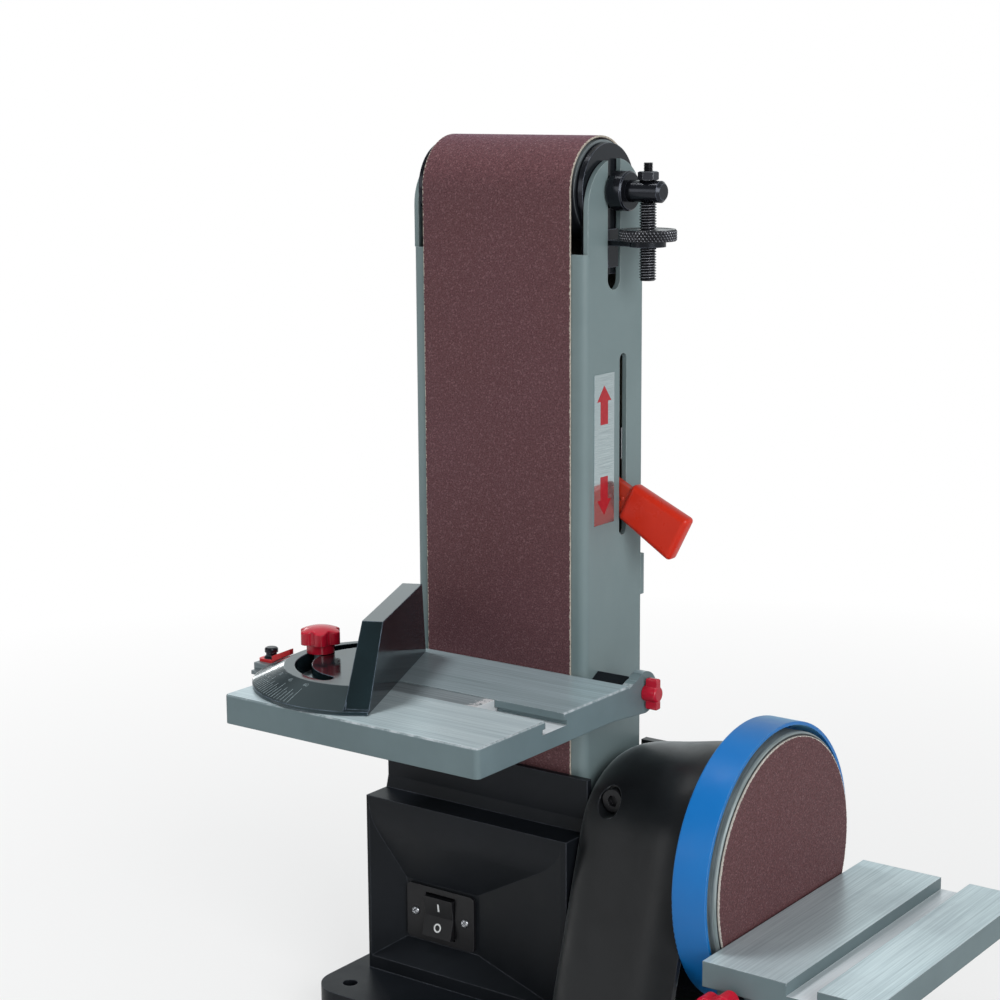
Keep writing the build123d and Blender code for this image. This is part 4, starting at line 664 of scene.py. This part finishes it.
# Bevel of the mitre head, in mm from its pivot
head_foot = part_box("mitre_head")[0].z
head_turn = math.radians(24.9)
lip_radius, lip_height = 68.5, 1.9
top_radius, top_height, top_shift = 48.3, 10.4, 2.5
top_span = 180 + 2 * math.degrees(math.asin(top_shift / top_radius))


def on_bevel(share, degrees, lift):
    """Point on the bevel: share runs from lip to top edge, degrees from the middle of its curve."""
    low_turn = math.radians(180 + degrees)
    high_turn = math.radians(180 + degrees * top_span / 180)
    low_point = polar((0.0, 0.0), lip_radius, low_turn, lip_height)
    high_point = polar((-top_shift, 0.0), top_radius, high_turn, top_height)
    along = (high_point - low_point).normalized()
    round_edge = Vector((math.sin(low_turn), -math.cos(low_turn), 0))
    off = round_edge.cross(along)
    point = low_point.lerp(high_point, share) + off * (lift if off.z > 0 else -lift)
    point.rotate(Matrix.Rotation(head_turn, 3, "Z"))
    return Vector((pivot.x, pivot.y, head_foot)) + point * mm


def mitre_scale():
    """Tick marks every 2.5 degrees out to 60 each way, longer at each 5 and longest at each 15."""
    step = 2.5
    last = 24
    half = 0.21
    start = 0.06
    sides = [(3, 2, 1, 0), (4, 5, 6, 7), (0, 1, 5, 4), (1, 2, 6, 5), (2, 3, 7, 6), (3, 0, 4, 7)]
    ticks = []
    for tick in range(-last, last + 1):
        end = 0.66 if tick % 6 == 0 else (0.56 if tick % 2 == 0 else 0.44)
        corners = []
        for lift in (-0.08, 0.1):
            for share, side in ((start, -1), (start, 1), (end, 1), (end, -1)):
                corners.append(on_bevel(share, tick * step + side * half, lift))
        ticks.append((corners, sides))
    # The ticks take the painted reflection colour
    piece("mitre_scale", *joined(ticks), "scale_ink", "mitre_head", "mitre_black")


def lettering(words, size):
    """Vertices and faces of a short text, centred on the origin."""
    curve = bpy.data.curves.new("words", "FONT")
    curve.body = words
    curve.size = size
    curve.align_x = "CENTER"
    curve.align_y = "CENTER"
    curve.extrude = 0.05
    holder = bpy.data.objects.new("words", curve)
    scene.collection.objects.link(holder)
    bpy.context.view_layer.update()
    flat = bpy.data.meshes.new_from_object(holder.evaluated_get(bpy.context.evaluated_depsgraph_get()))
    verts = [v.co.copy() for v in flat.vertices]
    faces = [tuple(p.vertices) for p in flat.polygons]
    bpy.data.objects.remove(holder)
    bpy.data.meshes.remove(flat)
    bpy.data.curves.remove(curve)
    return verts, faces


def mitre_numbers():
    """Degrees beside each 15 degree tick, bent round the bevel."""
    size = 3.4
    middle_share = 0.82
    bevel_width = 20.0
    bend_radius = 54.0
    lift = 0.02
    numbers = []
    for degrees in range(-60, 61, 15):
        verts, faces = lettering(str(abs(degrees)), size)
        placed = []
        for v in verts:
            turn = degrees + math.degrees(v.x / bend_radius)
            placed.append(on_bevel(middle_share + v.y / bevel_width, turn, v.z + lift))
        numbers.append((placed, faces))
    # The numbers take the painted reflection colour
    piece("mitre_numbers", *joined(numbers), "scale_ink", "mitre_head", "mitre_black")


def cross_screw(name, seat, radius, height):
    """Round-headed screw with a cross recess, its head towards the front."""
    front = Vector((0, -1, 0))
    side = front.orthogonal().normalized()
    other = front.cross(side)
    columns, rows = 48, 14
    arm_half, arm_reach = radius * 0.14, radius * 0.62
    rings = [[seat + (side * math.cos(a) + other * math.sin(a)) * radius * 0.98 - front * 0.2 * mm
              for a in angles(columns)]]
    for r in range(rows + 1):
        quarter = r / rows * math.pi / 2
        reach = radius * math.cos(quarter * 0.98)
        ring = []
        for angle in angles(columns):
            u = reach * math.cos(angle)
            v = reach * math.sin(angle)
            w = height * math.sin(quarter) ** 0.8
            out = max(abs(u), abs(v)) / arm_reach
            if min(abs(u), abs(v)) < arm_half and out < 1:
                w -= height * 0.62 * (1 - out ** 4)
            ring.append(seat + side * u + other * v + front * w)
        rings.append(ring)
    piece(name, *skin(rings), "steel", "base", "steel", 40.0)


def switch_screws():
    """Screw on each side of the switch plate."""
    middle = (plate_low + plate_high) / 2
    spacing = 18.5 * mm
    for name, side in (("switch_screw_left", -1), ("switch_screw_right", 1)):
        seat = Vector((middle.x + side * spacing, plate_low.y, middle.z))
        cross_screw(name, seat, 2.7 * mm, 1.5 * mm)


def rocker_marks():
    """Bar for on and ring for off, printed on the rocker; sizes in mm from its ridge."""
    low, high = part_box("switch_rocker")
    middle = (low + high) / 2
    half_height = (high.z - low.z) / 2
    ridge_y = plate_low.y - 1.0 * mm
    upper_fall, lower_fall = 1.5 * mm, 3.5 * mm
    thickness = 0.12 * mm
    stroke, foot, top = 0.6, 3.6, 8.4
    ring_height = -6.2
    outer, inner = 2.6, 1.7

    def on_rocker(u, v, w):
        """Point on the rocker's front: v is the height from its ridge in mm, w the distance off its face."""
        depth = (upper_fall if v > 0 else lower_fall) * abs(v) * mm / half_height
        return Vector((middle.x + u * mm, ridge_y - depth - w, middle.z + v * mm))

    bar = [(-stroke, foot), (stroke, foot), (stroke, top), (-stroke, top)]
    hoop = []
    for radius, lift in ((outer, 0.0), (outer, thickness), (inner, thickness), (inner, 0.0)):
        circle = [(radius * math.cos(a), ring_height + radius * math.sin(a)) for a in angles(40)]
        hoop.append([on_rocker(u, v, lift) for u, v in circle])
    piece("rocker_marks", *joined([prism(bar, on_rocker, thickness), skin(hoop, closed=True)]), "white_ink",
          "rocker", "switch_black")


# Tension lever, in mm along and across it from its pivot
lever_at = joint_at["tension_lever"]
lever_tilt = math.radians(-27.2)
lever_dir = Vector((math.cos(lever_tilt), 0, math.sin(lever_tilt)))
lever_up = Vector((-math.sin(lever_tilt), 0, math.cos(lever_tilt)))


def lever_point(along, up, depth):
    """Point of the lever along and across it, and in y from its pivot."""
    return lever_at + (lever_dir * along + lever_up * up) * mm + Vector((0, depth * mm, 0))


def lever_circle(centre, radius, depth, steps):
    """Circle on the lever at one depth."""
    return [lever_point(centre + radius * math.cos(a), radius * math.sin(a), depth) for a in steps]


def grip_outline(inset):
    """Grip outline with rounded corners, drawn in by inset."""
    shape = [Vector(p) for p in ((67.6, -11.8), (108.3, -15.6), (108.3, 12.6), (67.6, 10.9))]
    corner = 2.6
    radius = max(0.3, corner - inset)
    points = []
    for i, here in enumerate(shape):
        before = (shape[i - 1] - here).normalized()
        after = (shape[(i + 1) % 4] - here).normalized()
        half = before.angle(after) / 2
        centre = here + (before + after).normalized() * (inset + radius) / math.sin(half)
        first = math.atan2(before.x, -before.y)
        for k in range(9):
            angle = first + (math.pi - 2 * half) * k / 8
            points.append(centre + radius * Vector((math.cos(angle), math.sin(angle))))
    return points


def lever_grip():
    """Moulded grip with softly rounded edges, a little thinner than the solid."""
    low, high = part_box("lever_grip")
    middle = ((low.y + high.y) / 2 - lever_at.y) / mm
    thinner = 0.4
    half = (high.y - low.y) / 2 / mm - thinner
    edge = 3.6
    rings = []
    for k in range(-8, 9):
        angle = math.pi / 2 * k / 8
        side = (k > 0) - (k < 0)
        depth = middle + side * (half - edge) + edge * math.sin(angle)
        rings.append([lever_point(p.x, p.y, depth) for p in grip_outline(edge * (1 - math.cos(angle)))])
    grip = piece("lever_grip_moulded", *skin(rings), "grip_orange", "lever", "grip_orange", 60.0)
    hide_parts("lever_grip")


def lever_blade():
    """Flat lever with eased edges, bored for its pivot, with the pin at its tail."""
    bore, eye, end = 5.08, 11.0, 97.0
    top, bottom = 6.9, 10.6
    tail_reach, tail_radius = 9.0, 5.0
    half, ease = 2.5, 0.5
    pin_radius, pin_end = 3.0, -15.7
    corners = [-math.atan2(bottom, end), -0.05, 0.0, 0.035, math.atan2(top, end)]
    steps = corners + [math.radians(a) for a in range(7, 353, 3)]

    def outline(inset, depth):
        """Lever outline drawn in by inset: the eye, the blade on one side of it and the tail on the other."""
        ring = []
        for angle in steps:
            along, up = math.cos(angle), math.sin(angle)
            reach = eye - inset
            if along > 0:
                side = (top if up > 0 else bottom) - inset
                reach = max(reach, min((end - inset) / along, side / max(abs(up), 1e-6)))
            tail = (tail_radius - inset) ** 2 - (tail_reach * up) ** 2
            if along < 0 and tail > 0:
                reach = max(reach, math.sqrt(tail) - tail_reach * along)
            ring.append(lever_point(reach * along, reach * up, depth))
        return ring

    blade = [lever_circle(0.0, bore, half, steps), outline(ease, half), outline(0.0, half - ease),
             outline(0.0, ease - half), outline(ease, -half), lever_circle(0.0, bore, -half, steps)]
    pin_profile = ((pin_radius, ease - half), (pin_radius, pin_end + ease), (pin_radius - ease, pin_end))
    pin = [lever_circle(-tail_reach, radius, depth, angles(32)) for radius, depth in pin_profile]
    shape = joined([skin(blade, closed=True), skin(pin)])
    lever = piece("tension_lever_blade", *shape, "lever_orange", "lever", "lever_orange", 30.0)
    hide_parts("tension_lever")


def lever_rivet():
    """Domed rivet that fixes the grip to the lever."""
    centre = lever_point(65.1, -0.9, -2.5)
    dome = ((1.5, -0.3), (1.5, 0.15), (1.3, 0.5), (0.9, 0.75), (0.35, 0.88))
    rings = []
    for radius, rise in dome:
        circle = [Vector((radius * math.cos(a), -rise, radius * math.sin(a))) for a in angles(24)]
        rings.append([centre + point * mm for point in circle])
    piece("lever_rivet", *skin(rings), "lever_orange", "lever", "lever_orange", 50.0)


tracking_stud()
tracking_wheel()
stud_nut()
tension_spring()
label_arrows()
mitre_scale()
mitre_numbers()
switch_screws()
rocker_marks()
lever_grip()
lever_blade()
lever_rivet()


def photo_camera():
    """Camera at the photograph's viewpoint."""
    place = (0.675658, -1.003336, 0.551651)
    yaw, pitch, roll = (math.radians(v) for v in (36.354, 10.965, -0.372))
    level_right = Vector((math.cos(yaw), math.sin(yaw), 0))
    level_ahead = Vector((-math.sin(yaw), math.cos(yaw), 0))
    straight_up = Vector((0, 0, 1))
    ahead = level_ahead * math.cos(pitch) - straight_up * math.sin(pitch)
    level_above = level_ahead * math.sin(pitch) + straight_up * math.cos(pitch)
    right = level_right * math.cos(roll) + level_above * math.sin(roll)
    above = level_above * math.cos(roll) - level_right * math.sin(roll)
    camera = bpy.data.objects.new("camera", bpy.data.cameras.new("camera"))
    scene.collection.objects.link(camera)
    camera.data.sensor_width = 36.0
    camera.data.lens = 77.88
    camera.data.clip_end = 50.0
    turn = Matrix((right, above, -ahead)).transposed().to_4x4()
    camera.matrix_world = Matrix.Translation(place) @ turn
    scene.camera = camera


def white_world():
    """White to the camera; reflections see a bright backdrop and ceiling, and the ambient light is lower."""
    world = bpy.data.worlds.new("world")
    world.use_nodes = True
    scene.world = world
    sky = Nodes(world.node_tree)
    soft = {"interpolation_type": "SMOOTHSTEP"}
    towards_backdrop = (0.643, 0.766, 0.0)
    direction = sky.node("ShaderNodeTexCoord").outputs["Generated"]
    height = sky.node("ShaderNodeSeparateXYZ", {0: direction}).outputs["Z"]
    side = sky.vector_math("DOT_PRODUCT", direction, towards_backdrop)
    wide = sky.spread(side, -0.25, 0.05, **soft)
    tall = sky.spread(height, 0.7, 0.46, **soft)
    overhead = sky.spread(height, 0.45, 0.7, 0.0, 0.6, **soft)
    behind = sky.spread(side, -0.45, -0.15, **soft)
    bright = sky.math("MAXIMUM", sky.math("MULTIPLY", wide, tall), sky.math("MULTIPLY", overhead, behind))
    path = sky.node("ShaderNodeLightPath").outputs
    glossy = sky.math("MAXIMUM", path["Is Glossy Ray"], path["Is Transmission Ray"])
    mirrored = sky.spread(bright, 0.0, 1.0, 0.22, 1.0)
    unseen = sky.spread(glossy, 0.0, 1.0, 0.27, mirrored)
    background = sky.tree.nodes["Background"].inputs
    sky.put(background["Strength"], sky.spread(path["Is Camera Ray"], 0.0, 1.0, unseen, 1.0))
    sky.put(background["Color"], sky.mix(path["Is Camera Ray"], (0.93, 0.99, 1.0, 1.0), (1.0, 1.0, 1.0, 1.0)))


def pale_floor():
    """Floor that keeps the object's shadow and fades to white away from it."""
    half = 12.0
    mesh = bpy.data.meshes.new("floor")
    corners = [(-half, -half, 0), (half, -half, 0), (half, half, 0), (-half, half, 0)]
    mesh.from_pydata(corners, [], [(0, 1, 2, 3)])
    floor = bpy.data.objects.new("floor", mesh)
    floor.location.z = -0.0005
    scene.collection.objects.link(floor)
    f = Finish("floor")
    f.set(Base_Color=(0.72, 0.72, 0.72, 1.0), Roughness=0.7, Specular_IOR_Level=0.2)
    far = f.vector_math("LENGTH", f.place)
    glow = f.node("ShaderNodeEmission", {"Color": (1, 1, 1, 1), "Strength": 1.0})
    path = f.node("ShaderNodeLightPath").outputs
    glossy = f.math("MAXIMUM", path["Is Glossy Ray"], path["Is Transmission Ray"])
    looking = f.math("MAXIMUM", f.math("MULTIPLY", glossy, 0.4), path["Is Camera Ray"])
    share = f.math("MULTIPLY", looking, f.spread(far, 0.15, 1.1, 0.5, 1.0))
    both = f.node("ShaderNodeMixShader", {0: share, 1: f.shader.outputs[0], 2: glow.outputs[0]})
    f.put(f.tree.nodes["Material Output"].inputs["Surface"], both.outputs[0])
    mesh.materials.append(f.material)


def lamp(name, place, target, width, height, power):
    """Soft rectangular light aimed at a point."""
    light = bpy.data.lights.new(name, "AREA")
    light.shape = "RECTANGLE"
    light.size = width
    light.size_y = height
    light.energy = power
    made = bpy.data.objects.new(name, light)
    scene.collection.objects.link(made)
    made.location = place
    made.rotation_mode = "QUATERNION"
    made.rotation_quaternion = (Vector(target) - Vector(place)).to_track_quat("-Z", "Y")
    return made


photo_camera()
white_world()
pale_floor()

# The high lamp stays out of reflections, where the small glint beside it takes its place
lamp("right_softbox", (2.24, -1.26, 1.2), (0.0, 0.0, 0.3), 1.5, 1.5, 50.0)
high_lamp = lamp("high_lamp", (-0.92, -0.2, 2.15), (0.0, 0.0, 0.25), 0.5, 0.5, 27.0)
high_lamp.visible_glossy = False
lamp("glint", (-0.84, -0.22, 2.1), (0.0, 0.0, 0.25), 0.3, 0.2, 2.6)
lamp("left_softbox", (-1.15, -1.75, 0.85), (0.0, 0.0, 0.25), 0.7, 0.9, 4.0)
lamp("strip", (-2.05, 1.35, 0.78), (-0.1, -0.12, 0.22), 0.12, 0.8, 1.6)

scene.view_settings.view_transform = "Standard"
